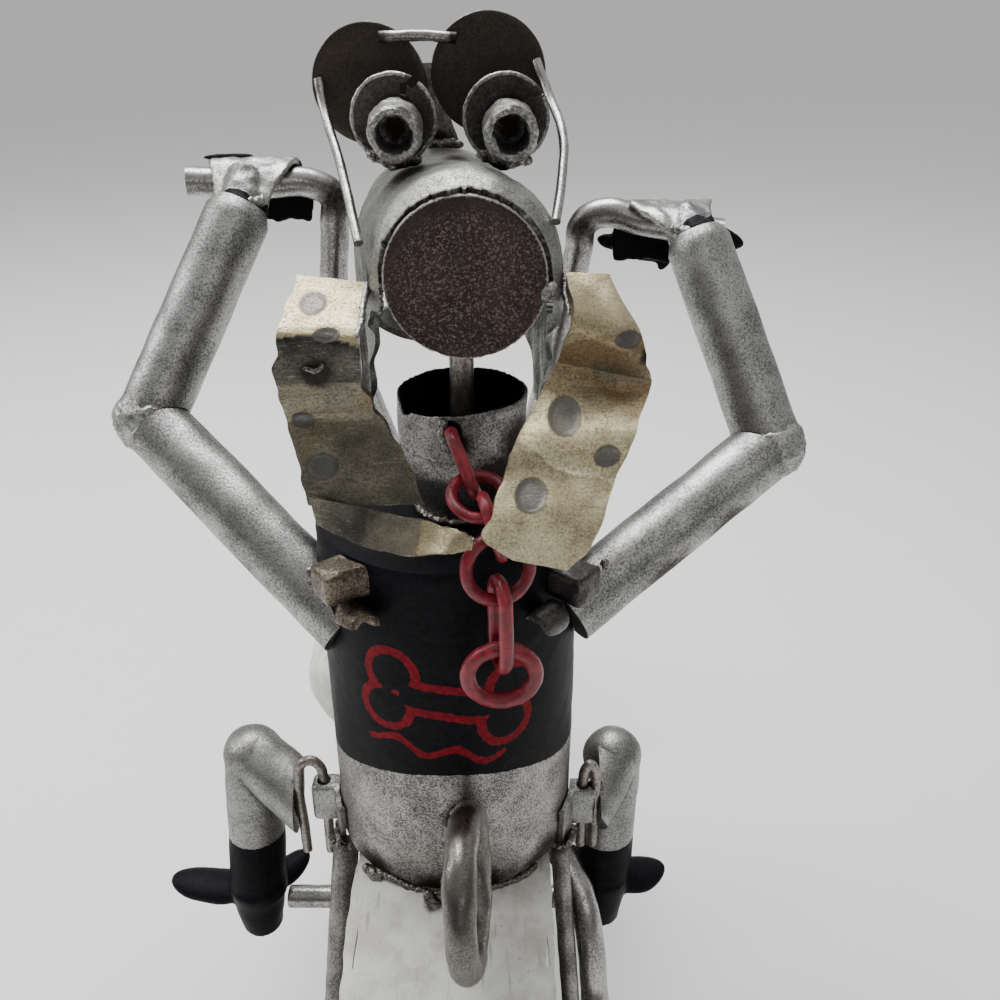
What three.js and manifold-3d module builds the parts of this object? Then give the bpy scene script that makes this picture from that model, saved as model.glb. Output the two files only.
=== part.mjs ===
// A dog riding a motorcycle, welded from scrap: pipe body and limbs, sheet ears, washers for eyes.
// Millimetres, +Z up. The dog looks along +Y, and +X is on the right of someone behind it.
// The origin is on the ground, at the middle of the stand's foot bar, under the pipe body.
import * as THREE from 'three';
import { mergeVertices } from 'three/addons/utils/BufferGeometryUtils.js';
import Module from 'manifold-3d';

const wasm = await Module();
wasm.setup();

// Stock that the pieces are cut from
const gap = 0.3; // left between pieces that touch
const limbDiameter = 20; // water pipe of the arms and legs
const rodDiameter = 9.5; // bar stock of the handlebars and the frame
const wireDiameter = 2.8; // wire of the glasses
const hookDiameter = 3.4; // wire of the hip hooks
const chainWire = 4.2;
const sheetThickness = 1.5; // plated sheet of the ears
const plateThickness = 2; // sheet of the head, fender and hands

// Body pipe and neck cup
const bodyDiameter = 76;
const bodyBottom = 120;
const bodyHeight = 115;
const bodyTop = bodyBottom + bodyHeight;
const bodyShoulder = 3; // bevel at the pipe's closed top
const neckTopDiameter = 35.5;
const neckFootDiameter = 26;
const neckHeight = 34.7;
const neckWall = 2;
const neckFloor = 4;
const neckX = 4.7;
const neckRodDiameter = 6.5;

// Head hood, open below, turned a little to the dog's left
const headRear = -19;
const headFront = 76;
const headRadius = 24;
const muzzleRadius = 11;
const headX = 8.2;
const headZ = bodyTop + 71;
const headTurn = THREE.MathUtils.degToRad(11);
const headStep = 1.5; // the hood is narrower ahead of its rear ring
const headStepY = -6;
const discDiameter = 38.6;
const discThickness = 2;
const discZ = headZ - 1;
const noseDiameter = 17;
const noseLength = 9;

// Eyes and glasses
const eyeSpread = 27.8; // between the washers' centres
const eyeX = 2.6;
const eyeY = 10;
const eyeZ = headZ + 32;
const washerDiameter = 21.6;
const washerThickness = 1.8;
const eyeTubeDiameter = 13;
const eyeTubeBore = 8.5;
const eyeTubeLength = 11;
const lensDiameter = 30;
const lensThickness = 1.6;
const lensY = 28;
const lensLeft = [-19, headZ + 38];
const lensRight = [12, headZ + 40.6];

// Tail ring, fender and wheels
const tailOuterDiameter = 47.5;
const tailThickness = 9;
const tailPlace = [6.4, -62.2, 148.4];
const axleHeight = 55; // of the rear axle
const rearAxleY = -38;
const rearWheelRadius = 55;
const frontWheelRadius = 50;
const frontAxleY = 186;
const tyreWidth = 34;
const tyreFlat = 0.4; // ground off under each wheel
const axleDiameter = 10;
const fenderWidth = 62;
const fenderGap = 7.7; // from the tyre to the fender's sheet
const fenderStart = THREE.MathUtils.degToRad(-20); // ahead of straight up
const fenderEnd = THREE.MathUtils.degToRad(108); // behind straight up

// Bike
const backboneDiameter = 12;
const tankLength = 86;
const tankWidth = 104;
const tankHeight = 54;
const tankX = -11;
const tankZ = 121;
const headTubeDiameter = 18;
const headTubeLength = 34;
const steeringY = 128;
const steeringZ = 139;
const forkSpread = 44;
const forkDiameter = 9.5;
const engineDiameter = 44;
const engineWidth = 36;
const engineY = 54;
const engineZ = 50;
const engineLean = 0.6;
const cylinderDiameter = 21;
const cylinderLength = 20;
const pegDiameter = 8;
const exhaustDiameter = 9.5;
const standWidth = 96;
const standDepth = 14;
const standThickness = 4;
const standLeg = 8;

const v3 = (x, y, z) => new THREE.Vector3(x, y, z);
const above = (x, y, height) => v3(x, y, bodyTop + height); // height from the body pipe's top
const model = new THREE.Group();

const finishes = {
  silver: { color: 0xa9a8a4, roughness: 0.38, metalness: 0.9 },
  black: { color: 0x1c1c20, roughness: 0.45, metalness: 0.1 },
  darkSteel: { color: 0x4a4540, roughness: 0.55, metalness: 0.8 },
  pittedDisc: { color: 0x3b2b29, roughness: 0.8, metalness: 0.4 },
  zincYellow: { color: 0xa79a70, roughness: 0.5, metalness: 0.7 },
  redPaint: { color: 0x8e1f30, roughness: 0.4, metalness: 0.1 },
  whitePaint: { color: 0xc6c5bb, roughness: 0.6, metalness: 0.1 },
};

function place(name, geometry, finish) {
  const bare = geometry.clone();
  bare.computeVertexNormals();
  const mesh = new THREE.Mesh(bare, new THREE.MeshStandardMaterial(finishes[finish]));
  mesh.name = name;
  model.add(mesh);
}

// Closed meshes as solids, to join and cut them
function merged(geometry) {
  const bare = geometry.clone();
  bare.deleteAttribute('normal');
  bare.deleteAttribute('uv');
  return mergeVertices(bare, 1e-4);
}

function toSolid(geometry) {
  const bare = merged(geometry);
  return new wasm.Manifold(new wasm.Mesh({
    numProp: 3,
    vertProperties: new Float32Array(bare.attributes.position.array),
    triVerts: new Uint32Array(bare.index.array),
  }));
}

function fromSolid(solid) {
  const mesh = solid.getMesh();
  const geometry = new THREE.BufferGeometry();
  geometry.setAttribute('position', new THREE.BufferAttribute(new Float32Array(mesh.vertProperties), 3));
  geometry.setIndex(new THREE.BufferAttribute(new Uint32Array(mesh.triVerts), 1));
  return geometry;
}

function joined(first, ...others) {
  return fromSolid(others.reduce((whole, geometry) => whole.add(toSolid(geometry)), toSolid(first)));
}

function cut(body, ...tools) {
  return fromSolid(tools.reduce((rest, tool) => rest.subtract(toSolid(tool)), toSolid(body)));
}

// Takes off all that lies beyond the plane through point, on the side that normal points to
function trimmed(body, point, normal) {
  const reach = 600;
  const block = new THREE.BoxGeometry(reach, reach, reach);
  block.translate(0, 0, reach / 2);
  block.applyQuaternion(new THREE.Quaternion().setFromUnitVectors(v3(0, 0, 1), normal.clone().normalize()));
  block.translate(point.x, point.y, point.z);
  return cut(body, block);
}

function bar(from, to, diameter, sides = 16, endDiameter = diameter) {
  const along = to.clone().sub(from);
  const geometry = new THREE.CylinderGeometry(endDiameter / 2, diameter / 2, along.length(), sides);
  geometry.translate(0, along.length() / 2, 0);
  geometry.applyQuaternion(new THREE.Quaternion().setFromUnitVectors(v3(0, 1, 0), along.clone().normalize()));
  geometry.translate(from.x, from.y, from.z);
  return geometry;
}

function bentRod(points, diameter, sides = 8, steps = 16) {
  const section = new THREE.Shape().absarc(0, 0, diameter / 2, 0, 2 * Math.PI);
  const path = new THREE.CatmullRomCurve3(points, false, 'centripetal');
  return new THREE.ExtrudeGeometry(section, {
    steps,
    bevelEnabled: false,
    extrudePath: path,
    curveSegments: sides / 2,
  });
}

// A sheet of even thickness, bent to the surface at(u, v), with u and v from 0 to 1
function sheet(at, thickness, across, along) {
  const geometry = merged(new THREE.BoxGeometry(1, 1, 1, across, along, 1));
  const points = geometry.attributes.position;
  const step = 1e-3;
  for (let i = 0; i < points.count; i += 1) {
    const u = points.getX(i) + 0.5;
    const v = points.getY(i) + 0.5;
    const acrossSheet = at(Math.min(u + step, 1), v).sub(at(Math.max(u - step, 0), v));
    const alongSheet = at(u, Math.min(v + step, 1)).sub(at(u, Math.max(v - step, 0)));
    const normal = acrossSheet.cross(alongSheet).normalize();
    const point = at(u, v).addScaledVector(normal, points.getZ(i) * thickness);
    points.setXYZ(i, point.x, point.y, point.z);
  }
  return geometry;
}

// A strip that runs through stations, each a pair of points on its two edges
function strip(stations, thickness, across = 1) {
  const last = stations.length - 1;
  const at = (u, v) => {
    const i = Math.min(Math.floor(v * last), last - 1);
    const [left, right] = [0, 1].map((edge) => stations[i][edge].clone().lerp(stations[i + 1][edge], v * last - i));
    return left.lerp(right, u);
  };
  return sheet(at, thickness, across, last);
}

// Pipe body, closed top and bottom
const bodyRadius = bodyDiameter / 2;

function upright(points, segments = 32) {
  const geometry = new THREE.LatheGeometry(points.map(([r, z]) => new THREE.Vector2(r, z)), segments);
  return geometry.rotateX(Math.PI / 2);
}

function bodyPipe() {
  return upright([
    [0, bodyBottom],
    [bodyRadius, bodyBottom],
    [bodyRadius, bodyTop - bodyShoulder],
    [bodyRadius - bodyShoulder, bodyTop],
    [0, bodyTop],
  ], 32);
}

// The space that limbs and brackets keep clear of the pipe body
function bodyRoom(extra = gap) {
  return upright([
    [0, bodyBottom - 5],
    [bodyRadius + extra, bodyBottom - 5],
    [bodyRadius + extra, bodyTop + gap],
    [0, bodyTop + gap],
  ], 32);
}

place('body_pipe', bodyPipe(), 'silver');

// Neck cup with an open top, and the rod that comes out of it to hold the head
const neckBottom = bodyTop + gap;
const neckTop = neckBottom + neckHeight;
const neckRadius = neckTopDiameter / 2;
const neckFootRadius = neckFootDiameter / 2;
const neckTaper = 0.42; // share of the height that tapers

function neckCup() {
  const taperTop = neckBottom + neckHeight * neckTaper;
  const cup = upright([
    [0, neckBottom],
    [neckFootRadius, neckBottom],
    [neckRadius, taperTop],
    [neckRadius, neckTop],
    [neckRadius - neckWall, neckTop],
    [neckRadius - neckWall, taperTop],
    [neckFootRadius - neckWall, neckBottom + neckFloor],
    [0, neckBottom + neckFloor],
  ], 18);
  return cup.translate(neckX, 0, 0);
}

// Centre line of the hood: where the head's middle lies at a given y
function headCentre(y) {
  const x = headX - (y - headRear) * Math.tan(headTurn);
  const droop = 16 * THREE.MathUtils.smoothstep(y, 30, headFront);
  return v3(x, y, headZ - droop);
}

function headHalfWidth(y) {
  const step = headStep * THREE.MathUtils.smoothstep(y, headStepY - 4, headStepY + 4);
  return THREE.MathUtils.lerp(headRadius - step, muzzleRadius, THREE.MathUtils.smoothstep(y, 28, 66));
}

// The cheeks hang below the hood's middle, most beside the eyes, and bulge there
const cheekBulge = 3.4;
function cheekFullness(y) {
  return Math.exp(-(((y - 11) / 14) ** 2));
}

function headSkin(u, v) {
  const y = THREE.MathUtils.lerp(headRear, headFront, v);
  const centre = headCentre(y);
  const radius = headHalfWidth(y) - plateThickness / 2;
  const cheek = 0.2;
  if (u < cheek || u > 1 - cheek) {
    const hang = (cheek - Math.min(u, 1 - u)) / cheek;
    const out = radius + cheekBulge * cheekFullness(y);
    return centre.add(v3(u < cheek ? -out : out, 0, -hang * (8 + 40 * cheekFullness(y))));
  }
  const turn = Math.PI * ((u - cheek) / (1 - 2 * cheek));
  const out = radius + cheekBulge * cheekFullness(y) * Math.cos(turn) ** 2;
  return centre.add(v3(-out * Math.cos(turn), 0, radius * Math.sin(turn)));
}

// The space that ears and eyes keep clear of the hood
function headRoom() {
  const wide = 2 * (headRadius + 2 * gap);
  const drop = 50;
  const vault = bar(headCentre(headRear - 9), headCentre(28), wide, 32);
  const cheeks = new THREE.BoxGeometry(wide, 70, drop);
  cheeks.rotateZ(headTurn);
  const middle = headCentre(0);
  cheeks.translate(middle.x, middle.y, middle.z - drop / 2);
  return joined(vault, cheeks);
}

function neckRod() {
  const foot = v3(neckX, 0, neckBottom + neckFloor + gap);
  const hoodInside = headCentre(0).z + headRadius - headStep - plateThickness - 1.4;
  return bar(foot, v3(neckX, 0, hoodInside), neckRodDiameter, 12);
}

place('head_hood', sheet(headSkin, plateThickness, 10, 9), 'silver');
place('neck_rod', neckRod(), 'silver');

function backDisc() {
  const face = v3(headX - 2.2, headRear - 0.6, discZ);
  return bar(face, face.clone().add(v3(0, discThickness, 0)), discDiameter, 20);
}

place('head_back_disc', backDisc(), 'pittedDisc');

// Nose slug at the muzzle's end, and the lower jaw under it
function noseSlug() {
  const front = headCentre(headFront);
  const start = front.clone().add(v3(0, plateThickness + gap, 2));
  const length = v3(-Math.sin(headTurn) * noseLength, Math.cos(headTurn) * noseLength, 0);
  return bar(start, start.clone().add(length), noseDiameter, 16, noseDiameter * 0.7);
}

function lowerJaw() {
  const jawRear = 8;
  const jawFront = 68;
  const at = (u, v) => {
    const y = THREE.MathUtils.lerp(jawRear, jawFront, v);
    const inside = headHalfWidth(y) + cheekBulge * cheekFullness(y) - plateThickness;
    const half = inside - gap - 1.3 - 3 * v;
    const turn = Math.PI * u;
    const z = headZ - THREE.MathUtils.lerp(22, 29, v) - half * 0.45 * Math.sin(turn);
    return v3(headCentre(y).x - half * Math.cos(turn), y, z);
  };
  return sheet(at, plateThickness, 6, 4);
}

place('nose_slug', noseSlug(), 'darkSteel');
place('lower_jaw', lowerJaw(), 'silver');

// Eyes: a washer stands on the hood, and a length of thick tube points back through it
const eyeSides = { left: -1, right: 1 };
for (const [side, sign] of Object.entries(eyeSides)) {
  const centre = v3(eyeX + sign * eyeSpread / 2, eyeY, eyeZ);
  const back = centre.clone().add(v3(0, -washerThickness, 0));
  const weld = new THREE.SphereGeometry(1, 6, 4);
  weld.scale(5.4, 2.4, 5.4);
  weld.translate(centre.x - sign, eyeY + 1, eyeZ - washerDiameter / 2 - 1.6);
  const washer = joined(bar(back, centre, washerDiameter, 18), weld);
  const near = v3(centre.x + 1.2, back.y - gap - 0.7 - eyeTubeLength, eyeZ - 2.2);
  const far = v3(centre.x + 0.6, back.y - gap - 0.7, eyeZ - 1.4);
  const bore = bar(near.clone().add(v3(0, -1, 0)), near.clone().lerp(far, 0.8), eyeTubeBore, 12);
  place(`eye_washer_${side}`, cut(washer, headRoom()), 'silver');
  place(`eye_tube_${side}`, cut(bar(near, far, eyeTubeDiameter, 14), bore), 'silver');
}

// Glasses: two discs on a post, a bridge wire behind them, and a wire back along each side of the head
const lensCentres = {
  left: v3(lensLeft[0], lensY, lensLeft[1]),
  right: v3(lensRight[0], lensY, lensRight[1]),
};
for (const [side, centre] of Object.entries(lensCentres)) {
  const back = centre.clone().add(v3(0, -lensThickness, 0));
  place(`lens_disc_${side}`, bar(back, centre, lensDiameter, 20), 'darkSteel');
}

function glassesBridge() {
  const y = lensY - lensThickness - gap - wireDiameter / 2;
  const rise = 9.2;
  const left = v3(lensCentres.left.x + 3.3, y, lensCentres.left.z + rise + 2.2);
  const right = v3(lensCentres.right.x - 8, y, lensCentres.right.z + rise - 0.6);
  return bar(left, right, wireDiameter, 8);
}

function glassesPost() {
  const y = lensY + gap + 0.8;
  const foot = headCentre(y);
  const footZ = foot.z + headHalfWidth(y) + gap;
  const middle = (lensCentres.left.x + lensCentres.right.x) / 2;
  const stations = [
    [v3(foot.x + 6, y, footZ), v3(foot.x - 4, y, footZ)],
    [v3(middle + 4.5, y, footZ + 8), v3(middle - 1.5, y, footZ + 8)],
    [v3(middle + 2, y, lensCentres.left.z + 5), v3(middle - 2.4, y, lensCentres.left.z + 5)],
  ];
  return strip(stations, 1.6);
}

const lensBack = lensY - lensThickness - gap - wireDiameter / 2;
const templeRoutes = {
  left: [
    v3(lensCentres.left.x - 12.8, lensBack, lensCentres.left.z + 1.6),
    v3(lensCentres.left.x - 11.6, 22, lensCentres.left.z - 4.5),
    above(-24.6, 5, 92.5),
    above(-18.6, -15, 78),
  ],
  right: [
    v3(lensCentres.right.x + 12.2, lensBack, lensCentres.right.z + 3.3),
    above(27.5, 20, 107.1),
    above(30.6, 9, 99),
    above(29.6, -2, 90.6),
    above(28.4, -12, 86),
  ],
};

place('glasses_post', glassesPost(), 'silver');
place('glasses_bridge', glassesBridge(), 'silver');
for (const [side, route] of Object.entries(templeRoutes)) {
  place(`temple_wire_${side}`, bentRod(route, wireDiameter, 6, 7), 'silver');
}

// Ears: plated sheet, bent over at the top, in waves below, and flared out over the back and the chain
const earRightStations = [
  [above(42.1, -8, 68.4), above(31.4, -8, 68.4)],
  [above(50.4, -22, 53.9), above(32.4, -26, 63.2)],
  [above(52.9, -18, 43.2), above(28.2, -18, 47.2)],
  [above(46.8, -34, 34.6), above(17.8, -38, 35.4)],
  [above(44, -35, 27.8), above(16.2, -40, 29)],
  [above(39.5, -45, 20.8), above(13.1, -49.8, 23.5)],
  [above(36, -49, 12.7), above(10.4, -53, 18.6)],
  [above(30.7, -51.5, 9.5), above(17.8, -53, 13.2)],
];
const earLeftStations = [
  [above(-22.2, -9, 67.5), above(-35.2, -9, 68.2)],
  [above(-18.6, -28, 59), above(-37.3, -28, 59.7)],
  [above(-18.5, -27, 47.5), above(-39.5, -27, 47.5)],
  [above(-15.3, -24, 38.4), above(-38.3, -22, 35.4)],
  [above(-9.6, -26, 29), above(-35.5, -28, 26.6)],
  [above(-4, -30, 15.5), above(-33, -32, 16.5)],
];
const earLipStations = [
  [above(-30.9, -32.2, 11.6), above(-32.4, -31.6, 19)],
  [above(-19.7, -39, 8.7), above(-16.4, -36.4, 17.8)],
  [above(-6.4, -45, 9.4), above(-1.9, -43, 17.8)],
  [above(2.7, -49.6, 13.1), above(6, -48.6, 18.2)],
  [above(8.4, -50, 14.4), above(8.9, -50, 16.9)],
];

function earRight() {
  return cut(strip(earRightStations, sheetThickness), headRoom());
}

function earLeft() {
  const whole = joined(strip(earLeftStations, sheetThickness), strip(earLipStations, sheetThickness));
  return cut(whole, headRoom());
}

place('ear_right', earRight(), 'zincYellow');
place('ear_left', earLeft(), 'zincYellow');

// Chain on the dog's back. Each link is threaded on the wire of the one before it, and a ring is last
const linkWidth = 13.6;
const linkReach = (linkWidth - chainWire) / 2; // from a narrow link's end to the wire inside it

// A link whose end wires lie at from and to
function chainLink(from, to, across, width = linkWidth, wire = chainWire) {
  const down = to.clone().sub(from);
  const radius = (width - wire) / 2;
  const stretch = Math.max(down.length() / 2 - radius, 0);
  down.normalize();
  const geometry = merged(new THREE.TorusGeometry(radius, wire / 2, 6, 12));
  const points = geometry.attributes.position;
  for (let i = 0; i < points.count; i += 1) {
    points.setY(i, points.getY(i) + Math.sign(Math.round(points.getY(i) * 10)) * stretch);
  }
  const side = across.clone().addScaledVector(down, -across.dot(down)).normalize();
  const turn = new THREE.Matrix4().makeBasis(side, down, side.clone().cross(down));
  return geometry.applyMatrix4(turn.setPosition(from.clone().add(to).multiplyScalar(0.5)));
}

const roundWidth = 17.9;
const wideWidth = 20.6;
const chainTop = above(2.6, -20.3, 31);
const chainTopEnd = above(8.8, -30.2, 18.8);
const roundTop = chainTopEnd.clone().lerp(chainTop, linkReach / chainTopEnd.distanceTo(chainTop));
const roundEnd = above(12.4, -38.7, 16.9);
const wideTop = above(14.1, -41.4, 12.6);
const wideEnd = above(14.9, -45, -3.1);
const hookedRun = wideTop.clone().sub(roundEnd).normalize().multiplyScalar(linkReach);
const longTop = wideEnd.clone().add(v3(0, 0, linkReach));
const longEnd = above(15.3, -46.2, -22.3);
const ringTop = longEnd.clone().add(v3(0, 0, linkReach));
const ringEnd = ringTop.clone().add(v3(0.2, 1.4, -17.6));
const topAcross = v3(0, 0.88, -0.47);

const chainLinks = {
  chain_link_1: chainLink(chainTop, chainTopEnd, topAcross),
  chain_link_2: chainLink(roundTop, roundEnd, v3(0.95, 0.25, 0), roundWidth),
  chain_link_3: chainLink(roundEnd.clone().sub(hookedRun), wideTop.clone().add(hookedRun), topAcross),
  chain_link_4: chainLink(wideTop, wideEnd, v3(0.95, 0.3, 0), wideWidth),
  chain_link_5: chainLink(longTop, longEnd, v3(-0.3, 0.95, 0)),
  chain_ring: chainLink(ringTop, ringEnd, v3(1, 0.05, 0), 17.6 + chainWire),
};
for (const [name, geometry] of Object.entries(chainLinks)) {
  place(name, geometry, 'redPaint');
}
const cupHole = chainLink(chainTop, chainTopEnd, topAcross, linkWidth + 0.8, chainWire + 1.2);
place('neck_cup', cut(neckCup(), cupHole), 'silver');

// Arms: two lengths of pipe, mitred and welded at the elbow
const limbRadius = limbDiameter / 2;

// The two lengths meet in the corner's middle plane, and a blunt corner has its point taken off
const bluntReach = 10.8;

function jointedPair(start, corner, end, blunt) {
  const inward = corner.clone().sub(start).normalize();
  const onward = end.clone().sub(corner).normalize();
  const normal = inward.clone().add(onward).normalize();
  const outward = inward.clone().sub(onward).normalize();
  const first = bar(start, corner.clone().addScaledVector(inward, limbDiameter), limbDiameter, 12);
  const second = bar(corner.clone().addScaledVector(onward, -limbDiameter), end, limbDiameter, 12);
  const near = corner.clone().addScaledVector(normal, -gap / 2);
  const far = corner.clone().addScaledVector(normal, gap / 2);
  const pair = [trimmed(first, near, normal), trimmed(second, far, normal.clone().negate())];
  const tip = corner.clone().addScaledVector(outward, bluntReach);
  return blunt ? pair.map((part) => trimmed(part, tip, outward)) : pair;
}

// Handlebars: one bent rod for each hand, welded to the side of the steering tube
const steerTilt = Math.atan2(frontAxleY - steeringY, steeringZ - frontWheelRadius);
const steerAxis = v3(0, -Math.sin(steerTilt), Math.cos(steerTilt));
const steeringCentre = v3(0, steeringY, steeringZ);
const barFoot = steeringCentre.clone().addScaledVector(steerAxis, headTubeLength * 0.3);
const barRoutes = {
  left: [
    v3(-83.5, 71.6, 311.2),
    v3(-60, 76, 310),
    v3(-45, 79, 309.2),
    v3(-39.4, 80.4, 305),
    v3(-39.6, 81.4, 297),
    v3(-41.8, 86, 270),
    v3(-34, 100, 225),
    v3(-17, barFoot.y, barFoot.z + 20),
    v3(-6, barFoot.y, barFoot.z),
  ],
  right: [
    v3(86.5, 72, 295),
    v3(62, 76, 298),
    v3(48, 79, 300),
    v3(42.6, 80.2, 296.4),
    v3(41.4, 82, 288),
    v3(37.6, 90, 262),
    v3(29, 106, 215),
    v3(17, barFoot.y, barFoot.z + 20),
    v3(6, barFoot.y, barFoot.z),
  ],
};

// The space round the steering tube that bars, tank and backbone keep clear of
function steeringRoom(extra, reach = headTubeLength) {
  const half = steerAxis.clone().multiplyScalar(reach);
  return bar(steeringCentre.clone().sub(half), steeringCentre.clone().add(half), headTubeDiameter + extra, 20);
}

for (const [side, route] of Object.entries(barRoutes)) {
  place(`handlebar_${side}`, cut(bentRod(route, rodDiameter, 8, 16), steeringRoom(2 * gap)), 'silver');
}

// Hands: the pipe's end is slit, hammered flat and curled over the bar
function hand(wrist, sign, grip) {
  const wide = (half, y, z, shift = 0) => [
    v3(grip.x + shift + sign * half, y, z),
    v3(grip.x + shift - sign * half, y, z),
  ];
  const order = sign > 0 ? (pair) => pair : (pair) => [pair[1], pair[0]];
  const stations = [
    wide(7.5, wrist.y - 2, wrist.z - 4, wrist.x - grip.x),
    wide(8.5, wrist.y + 1, wrist.z + 3, (wrist.x - grip.x) * 0.7),
    wide(12.5, grip.y - 4, grip.z + 6.4, 0),
    wide(14, grip.y + 3, grip.z + 6.8, sign),
    wide(14, grip.y + 7.4, grip.z + 2, -sign),
    wide(13, grip.y + 8, grip.z - 6, -sign * 4),
    wide(9, grip.y + 6, grip.z - 13, -sign * 7),
  ].map(order);
  return strip(stations, 2.6);
}

const arms = {
  left: {
    sign: -1,
    shoulder: v3(-28, -16, 203.4),
    elbow: v3(-91, 26, 250),
    wrist: v3(-64.6, 62, 306),
    grip: v3(-63, 75.6, 310.2),
  },
  right: {
    sign: 1,
    shoulder: v3(34, -12, 205.8),
    elbow: v3(98, 26, 241),
    wrist: v3(75.6, 61, 297.6),
    grip: v3(69, 74.9, 297.2),
  },
};

for (const [side, arm] of Object.entries(arms)) {
  const [upper, fore] = jointedPair(arm.shoulder, arm.elbow, arm.wrist, false);
  const barRoom = bentRod(barRoutes[side], rodDiameter + 3 * gap, 8, 16);
  place(`upper_arm_${side}`, cut(upper, bodyRoom()), 'silver');
  place(`forearm_${side}`, cut(joined(fore, hand(arm.wrist, arm.sign, arm.grip)), barRoom), 'silver');
}

// Hips: a folded strap on the pipe body holds one leg of a wire hook, and the thigh hangs on the other
const hips = {
  left: {
    sign: -1,
    y: -4,
    hook: { inner: -43.4, outer: -51.6, bottom: 101 },
    cutX: -53.6,
    knee: v3(-70.5, 12, 130),
    ankle: v3(-72, 0, 86),
    toes: { outer: 33.5, turn: Math.PI - 0.12, inner: 22, innerTurn: 0.85 },
  },
  right: {
    sign: 1,
    y: -6,
    hook: { inner: 42.4, outer: 46.4, bottom: 106 },
    cutX: 48.4,
    knee: v3(54, 12, 129),
    ankle: v3(51, 0, 91),
    toes: { outer: 25, turn: 0.2, inner: 20, innerTurn: Math.PI - 0.85 },
  },
};
const hookTop = 144;
const strapTop = 133;
const strapBottom = 118.4;
const strapThickness = 1.6;

function hipHook({ y, hook }) {
  const { inner, outer, bottom } = hook;
  const topZ = hookTop - hookDiameter;
  return bentRod([
    v3(inner, y, bottom),
    v3(inner, y, bottom + 8),
    v3(inner, y, topZ - 6),
    v3(inner * 0.85 + outer * 0.15, y, topZ - 1),
    v3((inner + outer) / 2, y, topZ + 0.8),
    v3(inner * 0.15 + outer * 0.85, y, topZ - 1),
    v3(outer, y, topZ - 6),
    v3(outer, y, bottom + 8),
    v3(outer, y, bottom),
  ], hookDiameter, 6, 14);
}

// The strap is folded round the hook's inner leg, with both tails flat on the pipe
function hipStrap({ sign, y, hook }) {
  const room = hookDiameter / 2 + 2 * gap;
  const outside = room + strapThickness;
  const reach = Math.abs(hook.inner) + outside;
  const tail = 16;
  const height = strapTop - strapBottom;
  const middle = (strapTop + strapBottom) / 2;
  const block = new THREE.BoxGeometry(reach, 2 * outside, height);
  block.translate(sign * reach / 2, y, middle);
  const lip = new THREE.BoxGeometry(strapThickness * 2, tail, height);
  lip.translate(sign * (bodyRadius + strapThickness * 0.5), y - tail / 3, middle);
  const eye = bar(v3(hook.inner, y, strapBottom - 5), v3(hook.inner, y, strapTop + 5), 2 * room, 12);
  const outerLeg = bar(v3(hook.outer, y, strapBottom - 5), v3(hook.outer, y, strapTop + 5), 2 * room, 12);
  return cut(joined(block, lip), eye, outerLeg, bodyRoom());
}

for (const [side, hip] of Object.entries(hips)) {
  place(`hip_hook_${side}`, hipHook(hip), 'silver');
  place(`hip_strap_${side}`, hipStrap(hip), 'silver');
}

// Legs: a short thigh, cut off flush beside the hook, and a shin whose end is splayed into a foot
const footDrop = 25;

function foot({ ankle, toes }) {
  const heel = ankle.clone().add(v3(0, -1, -footDrop));
  const sole = bar(ankle.clone().add(v3(0, 0, -6)), heel, limbDiameter, 12, limbDiameter * 0.72);
  const lobe = (from, reach, width, height, turn) => {
    const toe = new THREE.SphereGeometry(1, 8, 4);
    toe.scale(reach / 2, width / 2, height / 2);
    toe.translate(reach / 2, 0, 0);
    toe.rotateZ(turn);
    return toe.translate(from.x, from.y, from.z);
  };
  const middle = ankle.clone().add(v3(0, 2, -11));
  return joined(
    sole,
    lobe(middle, toes.outer, 15, 9, toes.turn),
    lobe(middle, toes.inner, 11, 9, toes.innerTurn),
  );
}

for (const [side, hip] of Object.entries(hips)) {
  const start = v3(hip.cutX - hip.sign * 6, hip.y + 1, 119);
  const [thigh, shin] = jointedPair(start, hip.knee, hip.ankle.clone().add(v3(0, 0, -10)), true);
  place(`thigh_${side}`, trimmed(thigh, v3(hip.cutX, 0, 0), v3(-hip.sign, 0, 0)), 'silver');
  place(`shin_${side}`, joined(shin, foot(hip)), 'silver');
}

// Shoulder brackets: a square stub and a curved tab beside the end of each upper arm
const shoulderBlocks = {
  left: { stub: above(-26.5, -32, -5.4), tab: above(-22.4, -36.4, -15.5), turn: 0.6 },
  right: { stub: above(34, -25, -10), tab: above(27.2, -33.4, -18), turn: -0.7 },
};
for (const [side, block] of Object.entries(shoulderBlocks)) {
  const stub = new THREE.BoxGeometry(13, 10, 9);
  stub.rotateZ(block.turn);
  stub.translate(block.stub.x, block.stub.y, block.stub.z);
  const tab = new THREE.CylinderGeometry(4.6, 4.6, 10, 10);
  tab.rotateX(Math.PI / 2);
  tab.rotateZ(block.turn);
  tab.translate(block.tab.x, block.tab.y, block.tab.z);
  const arm = arms[side];
  const armRoom = bar(arm.shoulder, arm.elbow, limbDiameter + 2 * gap, 18);
  place(`shoulder_stub_${side}`, cut(stub, bodyRoom(), armRoom), 'darkSteel');
  place(`shoulder_tab_${side}`, cut(tab, bodyRoom(), armRoom), 'silver');
}

// Tail ring, standing on edge behind the pipe body
function tailRing() {
  const geometry = new THREE.TorusGeometry((tailOuterDiameter - tailThickness) / 2, tailThickness / 2, 6, 16);
  geometry.rotateY(Math.PI / 2);
  geometry.rotateZ(-0.06);
  geometry.rotateY(-0.07);
  return geometry.translate(...tailPlace);
}

place('tail_ring', cut(merged(tailRing()), bodyRoom()), 'darkSteel');

// Rear fender, bent over the wheel, with its edges turned down a little
const fenderRadius = rearWheelRadius + fenderGap + plateThickness / 2;

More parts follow.
